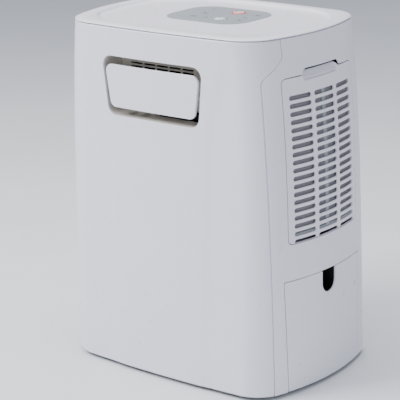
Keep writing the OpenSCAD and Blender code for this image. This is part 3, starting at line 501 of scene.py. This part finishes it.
def woven_net():
    """Fine net: two sets of crossed threads, in colour and height."""
    m, shader, nodes, link, where = base_material("net_grey", (0.2, 0.2, 0.22), 0.75)
    heights = []
    for axis, turn in (("Y", 0.0), ("Z", 0.0)):
        wave = nodes.new("ShaderNodeTexWave")
        wave.bands_direction = axis
        wave.inputs["Scale"].default_value = 260
        wave.inputs["Distortion"].default_value = 0.25
        link(where, wave.inputs["Vector"])
        heights.append(wave.outputs["Fac"])
    top = nodes.new("ShaderNodeMath")
    top.operation = "MAXIMUM"
    link(heights[0], top.inputs[0])
    link(heights[1], top.inputs[1])
    link(tint(nodes, link, top.outputs[0], (0.10, 0.098, 0.11), (0.34, 0.33, 0.36), (0.45, 0.95)), shader.inputs["Base Color"])
    bump(nodes, link, shader, top.outputs[0], 0.6, 0.0003)
    return m


def translucent(name, colour, rough=0.22):
    m, shader, nodes, link, where = base_material(name, colour, rough)
    shader.inputs["Transmission Weight"].default_value = 0.55
    shader.inputs["IOR"].default_value = 1.49
    haze = noise(nodes, link, where, 30, 3)
    link(tint(nodes, link, haze, shade(colour, 0.96), shade(colour, 1.03)), shader.inputs["Base Color"])
    link(remap(nodes, link, haze, rough * 0.85, rough * 1.3), shader.inputs["Roughness"])
    bump(nodes, link, shader, noise(nodes, link, where, 900, 2), 0.15, 0.00004)
    return m


WHITE = (0.80, 0.79, 0.87)
PANEL_GREY = (0.30, 0.325, 0.345)
BEIGE = (0.60, 0.57, 0.52)
MATERIALS = {
    "white_shell": moulded("shell_white", WHITE, 0.3, vary=0.012, Coat_Weight=0.12, Coat_Roughness=0.2),
    "white_inner": moulded("inner_white", (0.66, 0.66, 0.70), 0.5),
    "panel_grey": moulded("panel_film", PANEL_GREY, 0.34, grain=4200),
    "key_red": moulded("key_red", (0.72, 0.07, 0.09), 0.32),
    "key_white": moulded("key_white", (0.82, 0.82, 0.80), 0.35),
    "lens": moulded("lens_clear", (0.45, 0.62, 0.50), 0.15),
    "circuit_board": enamel("board_green", (0.02, 0.12, 0.06)),
    "outlet_beige": moulded("outlet_beige", BEIGE, 0.5, grain=1500, depth=0.00006, vary=0.05),
    "steel": brushed("zinc_plate", (0.62, 0.63, 0.64)),
    "mesh_grey": woven_net(),
    "black_plastic": moulded("black_plastic", (0.014, 0.014, 0.015), 0.45, vary=0.1),
    "tank_clear": translucent("tank_clear", (0.72, 0.78, 0.84)),
    "float_foam": moulded("float_foam", (0.74, 0.70, 0.62), 0.85, grain=900, depth=0.0003),
    "pan_steel": enamel("pan_enamel", (0.24, 0.25, 0.26), 0.45),
    "rubber": moulded("rubber_black", (0.025, 0.025, 0.027), 0.8, grain=700, depth=0.00008, vary=0.15),
    "aluminium": brushed("fin_aluminium", (0.78, 0.79, 0.80), 0.3, (1, 1, 8)),
    "copper": copper_tube(),
    "black_paint": enamel("black_enamel", (0.012, 0.012, 0.013)),
    "motor_paint": brushed("motor_can", (0.40, 0.41, 0.43), 0.4, (30, 1, 1)),
}
INK = moulded("ink_dark", (0.03, 0.033, 0.037), 0.45)
INK_WHITE = moulded("ink_white", (0.80, 0.80, 0.78), 0.45)


# ---- pieces ------------------------------------------------------------------------------------

BODY_OF = {n: b for b, ns in frame["record"]["behaviour"]["bodies"].items() for n in ns}
SLOT_OF = {p["node"]: p["material_slot"] for p in frame["record"]["subparts"]}


def stand_in(piece, node, *more):
    """The piece takes a CAD node's place and body, and the node is hidden."""
    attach(piece, BODY_OF[node])
    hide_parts(node, *more)
    return piece


def extra(piece, node):
    """A detail that rides with a CAD node's body."""
    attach(piece, BODY_OF[node])
    return piece


def shell_edge(loop, low=0.0026, top=0.0016, side=0.0005):
    """Rounding of a shell's rims: soft at the bottom and the top, fine along the seams."""
    at_low = np.abs(loop[:, 1] - Z0) < 1e-4
    at_top = np.abs(loop[:, 1] - Z_SEAM) < 1e-4
    return np.where(at_low, low, np.where(at_top, top, side))


def outlet_loop(grow=0.0, r=OUTLET_R, end=None):
    end = grow if end is None else end
    top, low = OUTLET_W / 2 + grow, (OUTLET_W - OUTLET_TAPER) / 2 + grow
    h = OUTLET_H / 2 + end
    corners = [(-low, -h), (low, -h), (top, h), (-top, h)]
    return rounded(corners, r, 10) + [OUTLET_MID.x, OUTLET_MID.z]


def front_shell():
    zs = np.linspace(Z0, Z_SEAM, 150)
    right = np.stack([seam_line(zs, -GAP / 2), zs], -1)
    outer = np.concatenate([right, right[::-1] * (-1, 1)])
    piece = shell("front_shell", on_front, [outer, outlet_loop(0.0003)], MATERIALS["white_shell"],
                  step=0.007, fillet=shell_edge, wall=0.003, spacing=0.004)
    stand_in(piece, "front_cover")


def seam_lip(side):
    """A tongue of the rear housing that closes the seam from behind."""
    zs = np.linspace(Z0 + 0.004, Z_SEAM - 0.003, 120)
    a = np.stack([seam_line(zs, -0.006), zs], -1)
    b = np.stack([seam_line(zs, 0.006), zs], -1)
    loop = np.concatenate([a, b[::-1]]) * (side, 1)

    def place(u, v, depth):
        return on_front(u, v, np.reshape(depth, -1) + 0.0021)
    piece = shell(f"seam_lip_{'right' if side > 0 else 'left'}", place, [loop], MATERIALS["white_shell"],
                  step=0.006, fillet=0.0002, wall=0.0012, segments=1)
    extra(piece, "rear_housing")


TANK_TOP = TANK[1].z + GAP
PANEL_EDGES = (SIDE_C - PANEL_W / 2, SIDE_C + PANEL_W / 2)


def scoop_bump(grow):
    """Half width and height of the scoop's upper half, round the top edge of the filter panel."""
    r = SCOOP[1] / 2 + grow
    a = np.linspace(0, math.pi / 2, 9)
    x = SCOOP[0] / 2 - SCOOP[1] / 2
    right = [(SIDE_C + x + r * math.cos(t), PANEL_HIGH + r * math.sin(t)) for t in a]
    left = [(SIDE_C - x - r * math.sin(t), PANEL_HIGH + r * math.cos(t)) for t in a]
    return right + left


def window_loop(grow, bump_grow, bump_drop=0.0):
    """The filter panel's outline with the scoop's upper half on its top edge, anticlockwise."""
    y0, y1 = PANEL_EDGES[0] - grow, PANEL_EDGES[1] + grow
    low, high = PANEL_LOW - grow, PANEL_HIGH + grow
    corners = box_loop(y0, y1, low, high, 0.008 + grow, 8)
    n = len(corners) // 4
    bump_pts = np.array(scoop_bump(bump_grow))
    bump_pts[:, 1] = np.where(bump_pts[:, 1] > PANEL_HIGH, bump_pts[:, 1] - bump_drop, bump_pts[:, 1])
    bump_pts = bump_pts[bump_pts[:, 1] > high + 0.0003]
    return np.concatenate([corners[:3 * n], bump_pts, corners[3 * n:]])


def rear_shell():
    zs = np.linspace(Z0, Z_SEAM, 150)
    q = seam_line(zs, GAP / 2)
    right = np.stack([q - quarter(zs), zs], -1)
    left = np.stack([3 * quarter(zs) - q, zs], -1)
    half = (TANK[1].y - TANK[0].y) / 2 + GAP
    y1 = SIDE_C + half
    y0 = y1 - 2 * half
    tank = rounded([(y0 + TANK_SLANT, Z0 - 0.05), (y0 + TANK_SLANT, Z0), (y0, TANK_TOP), (y1, TANK_TOP), (y1, Z0 - 0.05)],
                   [0, 0, 0.002, 0.002, 0])[1:-1]
    outer = np.concatenate([[right[0]], tank, [(y1, Z0)], left, right[::-1][:-1]])
    length = quarter(np.array(Z0))
    holes = [window_loop(GAP, GAP)]
    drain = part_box("drain_spigot")
    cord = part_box("cord_inlet")
    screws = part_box("shell_screws")
    sr = (0.004, 0.004)
    rounds = [((drain[0].x + drain[1].x) / 2, (drain[0].z + drain[1].z) / 2, (drain[1].z - drain[0].z) / 2 + 0.0003),
              ((cord[0].x + cord[1].x) / 2, (cord[0].z + cord[1].z) / 2, 0.0093)]
    for x in (screws[0].x + sr[0], screws[1].x - sr[0]):
        for z in (screws[0].z + sr[1], screws[1].z - sr[1]):
            rounds.append((x, z, 0.0023))
    for x, z, r in rounds:
        c = circle(x, z, r, 40 if r > 0.005 else 16)
        holes.append(np.stack([quarter(c[:, 1]) - c[:, 0], c[:, 1]], -1))

    def rim(loop):
        f = shell_edge(loop)
        return np.where(np.abs(loop[:, 1] - Z0) < 1e-4, 0.0026, f)
    piece = shell("rear_shell", on_side, [outer] + holes, MATERIALS["white_shell"],
                  step=0.007, fillet=rim, wall=0.003, spacing=0.004)
    stand_in(piece, "rear_housing")


def ring_solid(name, rings, material, sharp=35, cap_ends=False):
    """A closed solid through rings of equal length. Without caps, the last ring joins the first."""
    n, m = len(rings[0]), len(rings)
    points = [tuple(p) for ring in rings for p in ring]
    faces = []
    for k in range(m if not cap_ends else m - 1):
        a, b = k * n, (k + 1) % m * n
        faces += [(a + i, a + (i + 1) % n, b + (i + 1) % n, b + i) for i in range(n)]
    if cap_ends:
        faces += [tuple(range(n))[::-1], tuple((m - 1) * n + i for i in range(n))]
    return finish_mesh(name, points, faces, material, sharp)


def finish_mesh(name, points, faces, material, sharp=35):
    """A smooth mesh with outward normals, whose edges over the sharp angle stay sharp."""
    mesh = bpy.data.meshes.new(name)
    mesh.from_pydata(points, [], faces)
    mesh.materials.append(material)
    b = bmesh.new()
    b.from_mesh(mesh)
    bmesh.ops.recalc_face_normals(b, faces=b.faces)
    b.to_mesh(mesh)
    b.free()
    mesh.polygons.foreach_set("use_smooth", [True] * len(mesh.polygons))
    mesh.set_sharp_from_angle(angle=math.radians(sharp))
    piece = bpy.data.objects.new(name, mesh)
    bpy.context.scene.collection.objects.link(piece)
    return piece


def lathe(name, centre, profile, material, segments=48, sharp=35, axis="Z"):
    """A turned solid. profile is (radius, height) pairs from one end's middle to the other's."""
    rings = []
    for r, h in profile:
        a = np.arange(segments) / segments * 2 * math.pi
        c, s = max(r, 1e-5) * np.cos(a), max(r, 1e-5) * np.sin(a)
        row = np.stack([c, s, np.full(segments, h)], -1)
        if axis == "Y":
            row = np.stack([c, np.full(segments, h), s], -1)
        if axis == "X":
            row = np.stack([np.full(segments, h), c, s], -1)
        rings.append(row + np.array(centre))
    return ring_solid(name, rings, material, sharp, cap_ends=True)


def corner_arc(r, h, radius, start, steps=4):
    """(radius, height) pairs of a rounded edge.
    Start 0 turns a side into a top, and 1 turns a bottom into a side."""
    out = []
    for i in range(steps + 1):
        a = math.pi / 2 * i / steps
        if start:
            out.append((r - radius + radius * math.sin(a), h + radius - radius * math.cos(a)))
        else:
            out.append((r - radius + radius * math.cos(a), h - radius + radius * math.sin(a)))
    return out


def plate(name, loop, low, high, axis, material, edge=0.0004):
    """An outline carried along X, Y or Z with small rounded edges."""
    loop = anticlockwise(np.asarray(loop, float))
    d = inward(loop)
    rows = [(edge, low), (0, low + edge), (0, high - edge), (edge, high)]
    put = {"X": lambda p, h: (h, p[0], p[1]),
           "Y": lambda p, h: (p[0], h, p[1]),
           "Z": lambda p, h: (p[0], p[1], h)}[axis]
    rings = [[put(p, h) for p in loop + d * inset] for inset, h in rows]
    return ring_solid(name, rings, material, 50, cap_ends=True)


def cut_boxes(piece, boxes):
    """Cuts boxes, given by two corners, out of a piece."""
    for low, high in boxes:
        low, high = Vector(low), Vector(high)
        corners = [(x, y, z) for x in (low.x, high.x) for y in (low.y, high.y) for z in (low.z, high.z)]
        faces = [(0, 1, 3, 2), (4, 6, 7, 5), (0, 4, 5, 1), (2, 3, 7, 6), (0, 2, 6, 4), (1, 5, 7, 3)]
        cutter = finish_mesh("cutter", corners, faces, None)
        m = piece.modifiers.new("cut", "BOOLEAN")
        m.object, m.operation, m.solver = cutter, "DIFFERENCE", "EXACT"
        apply_modifiers(piece)
        bpy.data.objects.remove(cutter)


def apply_modifiers(piece):
    graph = bpy.context.evaluated_depsgraph_get()
    made = bpy.data.meshes.new_from_object(piece.evaluated_get(graph))
    piece.modifiers.clear()
    old, piece.data = piece.data, made
    made.name = piece.name
    bpy.data.meshes.remove(old)


# ---- air outlet --------------------------------------------------------------------------------

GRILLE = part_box("outlet_grille")
RECESS_WALL = 0.005
FLOOR_DEPTH = 0.032
WELL_X = (-0.032, 0.074)
WELL_H = 0.012
POCKET_X = (-0.073, -0.0485, -0.0465, -0.0335)
POCKET_START = 0.017
POCKET_DEEP = 0.0035


def outlet_recess():
    """The beige box behind the opening. Its floor has two pockets, then an open well on the right."""
    loop = dense(anticlockwise(outlet_loop()), 0.008)
    outer = loop - inward(loop) * RECESS_WALL
    low = OUTLET_MID.z - OUTLET_H / 2
    back = GRILLE[0].y

    def on_skin(points, depth):
        return on_front(points[:, 0], points[:, 1], depth)[0]

    def at_back(points):
        return np.stack([points[:, 0], np.full(len(points), back), points[:, 1]], -1)
    rings = [on_skin(loop, 0.0031), at_back(loop), at_back(outer), on_skin(outer, 0.0036)]
    piece = ring_solid("outlet_recess", rings, MATERIALS["outlet_beige"], 40)
    front = OUTLET_MID.y
    boxes = [((WELL_X[0], front + FLOOR_DEPTH, low - 0.01), (WELL_X[1], back + 0.001, low + WELL_H))]
    for x0, x1 in (POCKET_X[:2], POCKET_X[2:]):
        boxes.append(((x0, front + POCKET_START, low - POCKET_DEEP), (x1, back - 0.004, low + 0.004)))
    cut_boxes(piece, boxes)
    piece.data.set_sharp_from_angle(angle=math.radians(30))
    stand_in(piece, "outlet_frame")


COLUMNS = 5
COLUMN_W = 0.0242
COLUMN_RIB = 0.002
GRILLE_SHIFT = -0.015
TOP_ROW_DROP = 0.0165
TOP_ROW_H = 0.003
ROW_BAR = 0.0025
ROW_H = 0.010
ROWS = 4


def grille_slots():
    x0 = OUTLET_MID.x + GRILLE_SHIFT - (COLUMNS * (COLUMN_W + COLUMN_RIB) - COLUMN_RIB) / 2
    top = OUTLET_MID.z + OUTLET_H / 2 - TOP_ROW_DROP
    for c in range(COLUMNS):
        x = x0 + c * (COLUMN_W + COLUMN_RIB)
        yield x, x + COLUMN_W, top - TOP_ROW_H, top
        for r in range(ROWS):
            z = top - TOP_ROW_H - (r + 1) * (ROW_BAR + ROW_H)
            yield x, x + COLUMN_W, z, z + ROW_H


def outlet_grille():
    low = OUTLET_MID.z - OUTLET_H / 2
    loop = outlet_loop(0.004, OUTLET_R)
    holes = [box_loop(*s, 0.0005, 2) for s in grille_slots()]
    piece = shell("outlet_grille_bars", facing_front(GRILLE[0].y), [loop] + holes, MATERIALS["outlet_beige"],
                  step=0.008, fillet=0.0003, wall=GRILLE[1].y - GRILLE[0].y, segments=2)
    cut_boxes(piece, [((WELL_X[0], GRILLE[0].y - 0.01, low - 0.02),
                       (WELL_X[1], GRILLE[1].y + 0.01, low + WELL_H))])
    stand_in(piece, "outlet_grille")


def outlet_flap():
    def place(u, v, depth):
        return on_front(u, v, np.reshape(depth, -1) - FLAP_PROUD)
    loop = outlet_loop(-FLAP_SIDE, 0.012, -FLAP_END)
    face = shell("flap_face", place, [loop], MATERIALS["white_shell"],
                 step=0.007, fillet=0.0011, wall=0.0035, segments=4)
    stand_in(face, "outlet_flap")
    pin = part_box("flap_pins")
    pin_y, pin_z, pin_r = (pin[0].y + pin[1].y) / 2, (pin[0].z + pin[1].z) / 2, (pin[1].z - pin[0].z) / 2
    lug = pin_r + 0.0025
    for side, name in ((-1, "left"), (1, "right")):
        x = OUTLET_MID.x + side * (FLAP[1].x - OUTLET_MID.x - 0.0085)
        a = np.linspace(math.pi / 2, -math.pi / 2, 13)
        arc = [(pin_y + lug * math.cos(t), pin_z + lug * math.sin(t)) for t in a]
        front = OUTLET_MID.y + 0.0040
        loop = [(front, pin_z - lug), (front, pin_z + lug)] + arc
        ear = plate(f"flap_ear_{name}", loop, x - 0.0015, x + 0.0015, "X", MATERIALS["white_shell"])
        extra(ear, "outlet_flap")


# ---- side panels -------------------------------------------------------------------------------

SLOT_ROWS = 19
SLOT_PITCH = 0.0125
SLOT_H = 0.0075
SLOT_DROP = 0.030
SLOT_MID = 0.050
SLOT_OUT = 0.045
SLOT_RIB = 0.0065


def pill(x, y, w, h, segments=7):
    r = h / 2
    a = np.linspace(-math.pi / 2, math.pi / 2, segments)
    right = [(x + w / 2 - r + r * math.cos(t), y + r * math.sin(t)) for t in a]
    left = [(x - w / 2 + r - r * math.cos(t), y - r * math.sin(t)) for t in a]
    return np.array(right + left)


def dish(y, z):
    """Depth of the finger scoop, which opens upward at the panel's top edge."""
    r, half = SCOOP[1] / 2, SCOOP[0] / 2 - SCOOP[1] / 2
    across = np.maximum(np.abs(y - SIDE_C) - half, 0)
    below = np.minimum(z - PANEL_HIGH, 0)
    d = r - np.hypot(across, below)
    rise = np.clip((z - PANEL_HIGH + r) / (1.75 * r), 0, 1)
    return SCOOP_DEEP * (0.3 * smoothstep(0, 0.003, d) + 0.7 * smoothstep(-0.002, 0.012, d) * rise)


def dished_skin(q, z):
    n = normals_of(raw_skin, q, z)
    return raw_skin(q, z) - n * dish(q - quarter(z), z)[..., None]


def filter_panel():
    outer = window_loop(0.0, -GAP, SCOOP_GAP - GAP)
    first = PANEL_HIGH - SLOT_DROP
    holes = []
    for i in range(SLOT_ROWS):
        z = first - i * SLOT_PITCH
        holes.append(pill(SIDE_C, z, SLOT_MID, SLOT_H))
        for s in (-1, 1):
            holes.append(pill(SIDE_C + s * (SLOT_MID / 2 + SLOT_RIB + SLOT_OUT / 2), z, SLOT_OUT, SLOT_H))
    fine, coarse = 0.0014, 0.005
    grids = []
    for step, low, high in ((coarse, PANEL_LOW, first + 0.008), (fine, first + 0.008, PANEL_HIGH + 0.012)):
        ys, zs = np.arange(PANEL_EDGES[0], PANEL_EDGES[1], step), np.arange(low, high, step)
        grids.append(np.array([(y, z) for z in zs for y in ys]))
    piece = shell("filter_cover", placer(dished_skin, True), [outer] + holes, MATERIALS["white_shell"],
                  step=0.0016, fillet=0.0005, wall=WALL, segments=2, grid=np.concatenate(grids))
    stand_in(piece, "filter_panel")


def air_filter():
    """The filter's frame and net, which follow the back of the panel."""
    y0, y1, z0, z1 = FILTER[0].y, FILTER[1].y, FILTER[0].z, FILTER[1].z
    bar, depth, thick = 0.008, 0.003, 0.005
    middle = (y0 + y1) / 2
    windows = [(y0 + bar, middle - bar / 2, z0 + bar, z1 - bar),
               (middle + bar / 2, y1 - bar, z0 + bar, z1 - bar)]

    def layer(offset):
        def place(u, v, d):
            return on_side(u, v, np.reshape(d, -1) + offset)
        return place
    loops = [box_loop(y0, y1, z0, z1, 0.005)] + [box_loop(*w, 0.002) for w in windows]
    piece = shell("filter_rim", layer(depth), loops,
                  MATERIALS["panel_grey"], step=0.008, fillet=0.0005, wall=thick, segments=2)
    stand_in(piece, "filter_frame")
    loops = [box_loop(a - 0.002, b + 0.002, c - 0.002, d + 0.002, 0.002) for a, b, c, d in windows]
    for side, loop in zip(("front", "rear"), loops):
        net = shell(f"filter_net_{side}", layer(depth + 0.0021), [loop], MATERIALS["mesh_grey"],
                    step=0.008, fillet=0.0002, wall=0.0007, segments=1)
        if side == "front":
            stand_in(net, "filter_mesh")
        else:
            extra(net, "filter_mesh")


def tank_cover():
    y0, y1, low, high = TANK[0].y, TANK[1].y, TANK[0].z, TANK[1].z
    r = NOTCH[0] / 2
    notch_low = high - NOTCH[1] + r
    a = np.linspace(math.pi, 2 * math.pi, 13)
    notch = [(SIDE_C + r * math.cos(t), notch_low + r * math.sin(t)) for t in a][::-1]
    corners = [(y0 + TANK_SLANT, low), (y1, low), (y1, high), (SIDE_C + r, high)]
    corners += notch + [(SIDE_C - r, high), (y0, high)]
    radii = [0.001, 0.001, 0.001, 0.0015] + [0] * len(notch) + [0.0015, 0.002]

    def rim(loop):
        f = np.where(np.abs(loop[:, 1] - low) < 1e-4, 0.0024, 0.0005)
        at_notch = (np.abs(loop[:, 0] - SIDE_C) < r + 0.0002) & (loop[:, 1] > notch_low - r - 0.001)
        return np.where(at_notch, 0.0009, f)
    piece = shell("tank_cover", on_side, [rounded(corners, radii, 4)], MATERIALS["white_shell"],
                  step=0.006, fillet=rim, wall=0.003, spacing=0.004)
    stand_in(piece, "tank_front")


# ---- lid and keys ------------------------------------------------------------------------------

LID_GAP = 0.0017
RIM_W = 0.026
RIM_SLOPE = 0.0055
RIM_CORNER = 0.052
PLATE_Z = Z_TOP - 0.004


def lid_ring(inset, corner, z):
    """Points round the lid, in the same order and number whatever the inset and the corner radius."""
    hx, hy = (float(v) - inset for v in half_sizes(np.array(Z_SEAM)))
    front, side, arc = hx - corner, hy - corner, math.pi / 2
    quad = [(k / 14 * front, -hy) for k in range(14)]
    turns = [k / 16 * arc for k in range(16)]
    quad += [(front + corner * math.sin(a), -side - corner * math.cos(a)) for a in turns]
    quad += [(hx, -side + k / 14 * side) for k in range(14)] + [(hx, 0.0)]
    quad = [(x * (1 + SIDE_BOW / hx * (1 - (y / hy) ** 2)),
             y * (1 + FRONT_BOW / hy * (1 - (x / hx) ** 2))) for x, y in quad]
    half = quad + [(x, -y) for x, y in quad[-2:0:-1]]
    half = half + [(quad[0][0], -quad[0][1])]
    full = half + [(-x, y) for x, y in half[-2:0:-1]]
    return np.array([(x, y, z) for x, y in full])


def lid():
    lip, roll_w, roll_h, base = 0.0005, 0.0125, 0.0028, Z_SEAM + LID_GAP
    rows = [(0.0062, CORNER_R - 0.0062, Z_SEAM - 0.0045), (0.0034, CORNER_R - 0.0034, Z_SEAM - 0.0045),
            (0.0034, CORNER_R - 0.0034, base)]
    for i in range(4):
        a = math.pi / 2 * i / 3
        inset = 0.0002 + lip * (1 - math.sin(a))
        rows.append((inset, CORNER_R - inset, base + lip * (1 - math.cos(a))))
    for i in range(7):
        a = math.pi / 2 * i / 6
        inset = 0.0002 + roll_w * (1 - math.cos(a))
        rows.append((inset, CORNER_R - inset, Z_TOP - roll_h + roll_h * math.sin(a)))
    drop = Z_TOP - PLATE_Z
    for i in range(9):
        s = i / 8
        ease = s * s * (3 - 2 * s)
        rows.append((RIM_W - RIM_SLOPE * (1 - s), RIM_CORNER + RIM_SLOPE * (1 - s), Z_TOP - drop * ease))
    rows.append((RIM_W + 0.001, RIM_CORNER - 0.001, PLATE_Z))
    rows.append((RIM_W + 0.001, RIM_CORNER - 0.001, PLATE_Z - 0.0025))
    rows.append((0.0062, CORNER_R - 0.0062, PLATE_Z - 0.0025))
    rim = ring_solid("lid_rim", [lid_ring(*r) for r in rows], MATERIALS["white_shell"], 50)
    stand_in(rim, "top_cover")
    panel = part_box("control_panel")
    edge = lid_ring(RIM_W + 0.001, RIM_CORNER - 0.001, PLATE_Z)[:, :2]
    recess = box_loop(panel[0].x - 0.0002, panel[1].x + 0.0002,
                      panel[0].y - 0.0002, panel[1].y + 0.0002, 0.040, 16)

    def edges(loop):
        return np.where(np.hypot(*loop.T) > 0.115, 1e-5, 0.0004)
    middle = shell("lid_plate", flat(PLATE_Z), [edge, recess], MATERIALS["white_shell"],
                   step=0.012, fillet=edges, wall=0.0025, spacing=0.02)
    extra(middle, "top_cover")


KEYS = ["power_button", "speed_button", "timer_button", "mode_button", "up_button", "down_button"]
KEY_GAP = 0.0005


def key_places():
    for node in KEYS:
        low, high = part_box(node)
        yield node, (low.x + high.x) / 2, (low.y + high.y) / 2, (high.x - low.x) / 2 - 0.0015, high.z


def control_panel():
    low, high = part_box("control_panel")
    holes = [circle(x, y, r + KEY_GAP, 40) for _, x, y, r, _ in key_places()]
    piece = shell("panel_overlay", flat(high.z), [box_loop(low.x, high.x, low.y, high.y, 0.040, 16)] + holes,
                  MATERIALS["panel_grey"], step=0.01, fillet=0.0003, wall=0.0016, spacing=0.006)
    stand_in(piece, "control_panel")
    for node, x, y, r, top in key_places():
        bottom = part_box(node)[0].z
        profile = [(0, bottom), (r + 0.0015, bottom), (r + 0.0015, bottom + 0.0015), (r, bottom + 0.0015)]
        profile += corner_arc(r, top - 0.0001, 0.0005, 0) + [(r * 0.5, top), (0, top + 0.00005)]
        cap = lathe(node.replace("button", "key_cap"), (x, y, 0), profile, MATERIALS[SLOT_OF[node]], 48)
        stand_in(cap, node)


def mark(name, loops, z, material, node):
    """A thin printed mark that rides with a node."""
    piece = shell(name, flat(z + 0.00008), loops, material,
                  step=0.004, fillet=1e-5, wall=0.00012, segments=1, spacing=0.003)
    extra(piece, node)


def ring_mark(x, y, r0, r1, n=40):
    return [circle(x, y, r1, n), circle(x, y, r0, n)]


def arc_band(x, y, r0, r1, a0, a1, n=24):
    a = np.radians(np.linspace(a0, a1, n))
    outer = np.stack([x + r1 * np.cos(a), y + r1 * np.sin(a)], -1)
    inner = np.stack([x + r0 * np.cos(a), y + r0 * np.sin(a)], -1)[::-1]
    return [np.concatenate([outer, inner])]


def bar_mark(x, y, w, h):
    return [box_loop(x - w / 2, x + w / 2, y - h / 2, y + h / 2, min(w, h) * 0.3, 3)]


def panel_marks():
    places = {node: (x, y, top) for node, x, y, _, top in key_places()}
    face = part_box("control_panel")[1].z
    x, y, z = places["power_button"]
    mark("mark_power_field", [circle(x, y, 0.0085)], z, INK_WHITE, "power_button")
    red = MATERIALS["key_red"]
    mark("mark_power_arc", arc_band(x, y, 0.0040, 0.0058, 125, 415), z + 0.0001, red, "power_button")
    mark("mark_power_bar", bar_mark(x, y + 0.0038, 0.0018, 0.0068), z + 0.0001, red, "power_button")
    x, y, z = places["speed_button"]
    mark("mark_speed_ring", ring_mark(x, y, 0.0068, 0.0088), face, INK_WHITE, "control_panel")
    mark("mark_speed_dot", [circle(x, y, 0.0022, 24)], z, INK, "speed_button")
    x, y, z = places["timer_button"]
    mark("mark_timer_ring", ring_mark(x, y, 0.0033, 0.0042), z, INK, "timer_button")
    mark("mark_timer_hand", bar_mark(x, y + 0.001, 0.0008, 0.0032), z, INK, "timer_button")
    x, y, z = places["mode_button"]
    drop = [(x + 0.0026 * math.sin(t) * (0.6 + 0.4 * math.cos(t / 2)), y - 0.001 - 0.0034 * math.cos(t))
            for t in np.linspace(0, 2 * math.pi, 24, endpoint=False)]
    mark("mark_mode_drop", [np.array(drop)], z, INK, "mode_button")
    for node, sign in (("up_button", 1), ("down_button", -1)):
        x, y, z = places[node]
        tip = [(x - 0.0035, y - sign * 0.002), (x + 0.0035, y - sign * 0.002), (x, y + sign * 0.0032)]
        mark(f"mark_{node.split('_')[0]}", [rounded(tip, 0.0004, 3)], z, INK, node)
    low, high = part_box("control_panel")
    cx, cy = (low.x + high.x) / 2, (low.y + high.y) / 2
    for i, (dx, dy) in enumerate([(-0.032, 0.036), (0.002, -0.027), (0.039, -0.020), (0.059, 0.002)]):
        mark(f"mark_lens_{i}", bar_mark(cx + dx - 0.0075, cy + dy, 0.007, 0.0022), face, INK, "control_panel")


def feet():
    for node in [n for n in frame["nodes"] if n.startswith("foot_")]:
        low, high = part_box(node)
        r = (high.x - low.x) / 2
        x, y = (low.x + high.x) / 2, (low.y + high.y) / 2
        top = Z0 + 0.002
        profile = [(0, low.z)] + corner_arc(r - 0.0015, low.z, 0.0012, 1) + [(r, top - 0.0012)]
        profile += corner_arc(r, top, 0.0006, 0) + [(0.005, top), (0.005, high.z), (0, high.z)]
        stand_in(lathe(f"rubber_{node}", (x, y, 0), profile, MATERIALS["rubber"], 48), node)


def dress_inner_parts():
    """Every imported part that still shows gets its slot's finish."""
    for node, obj in frame["nodes"].items():
        obj.data.materials.clear()
        obj.data.materials.append(MATERIALS[SLOT_OF[node]])


# ---- studio ------------------------------------------------------------------------------------

VIEW_YAW = 39.02
VIEW_PITCH = 16.2
VIEW_ROLL = -1.6
VIEW_DISTANCE = 2.7406
VIEW_LENS = 150.1
VIEW_SHIFT = (-0.04175, -0.035)


def camera():
    a, e, r = (math.radians(v) for v in (VIEW_YAW, VIEW_PITCH, VIEW_ROLL))
    back = Vector((math.sin(a) * math.cos(e), -math.cos(a) * math.cos(e), math.sin(e)))
    level = Vector((math.cos(a), math.sin(a), 0))
    up = back.cross(level)
    right = math.cos(r) * level + math.sin(r) * up
    up = back.cross(right)
    data = bpy.data.cameras.new("camera")
    data.lens = VIEW_LENS
    data.shift_x, data.shift_y = VIEW_SHIFT
    obj = bpy.data.objects.new("camera", data)
    turn = Matrix((right, up, back)).transposed().to_4x4()
    obj.matrix_world = Matrix.Translation(Vector((0, 0, Z0 + HEIGHT / 2)) + back * VIEW_DISTANCE) @ turn
    bpy.context.scene.collection.objects.link(obj)
    bpy.context.scene.camera = obj


def light(name, place, target, size, power, colour=(1, 1, 1)):
    data = bpy.data.lights.new(name, "AREA")
    data.shape, data.size, data.energy, data.color = "SQUARE", size, power, colour
    obj = bpy.data.objects.new(name, data)
    way = Vector(place) - Vector(target)
    obj.matrix_world = Matrix.Translation(place) @ way.to_track_quat("Z", "Y").to_matrix().to_4x4()
    bpy.context.scene.collection.objects.link(obj)


def studio():
    middle = (0, 0, 0.3)
    light("key", (-1.3, -1.6, 2.3), middle, 1.5, 108)
    light("fill", (2.6, -0.2, 2.0), middle, 1.8, 16, (0.93, 0.93, 1.0))
    light("front", (1.2, -3.0, 1.0), (0, 0, 0.5), 0.8, 14)
    light("top", (0.0, 0.3, 2.4), middle, 1.6, 40)
    world = bpy.data.worlds.new("world")
    world.use_nodes = True
    world.node_tree.nodes["Background"].inputs["Color"].default_value = (0.82, 0.85, 0.97, 1)
    world.node_tree.nodes["Background"].inputs["Strength"].default_value = 0.5
    bpy.context.scene.world = world
    floor_mat = base_material("floor_pale", (0.80, 0.83, 0.86), 0.6)
    m, shader, nodes, link, where = floor_mat
    colour = tint(nodes, link, noise(nodes, link, where, 3, 3), (0.78, 0.81, 0.84), (0.82, 0.85, 0.88))
    link(colour, shader.inputs["Base Color"])
    n, size = 48, 6.0
    ring = [(size * math.cos(2 * math.pi * i / n), size * math.sin(2 * math.pi * i / n), 0) for i in range(n)]
    mesh = bpy.data.meshes.new("floor")
    mesh.from_pydata(ring, [], [tuple(range(n))])
    mesh.materials.append(m)
    obj = bpy.data.objects.new("floor", mesh)
    bpy.context.scene.collection.objects.link(obj)


camera()
studio()
dress_inner_parts()
front_shell()
rear_shell()
for side in (-1, 1):
    seam_lip(side)
outlet_recess()
outlet_grille()
outlet_flap()
filter_panel()
air_filter()
tank_cover()
lid()
control_panel()
panel_marks()
feet()
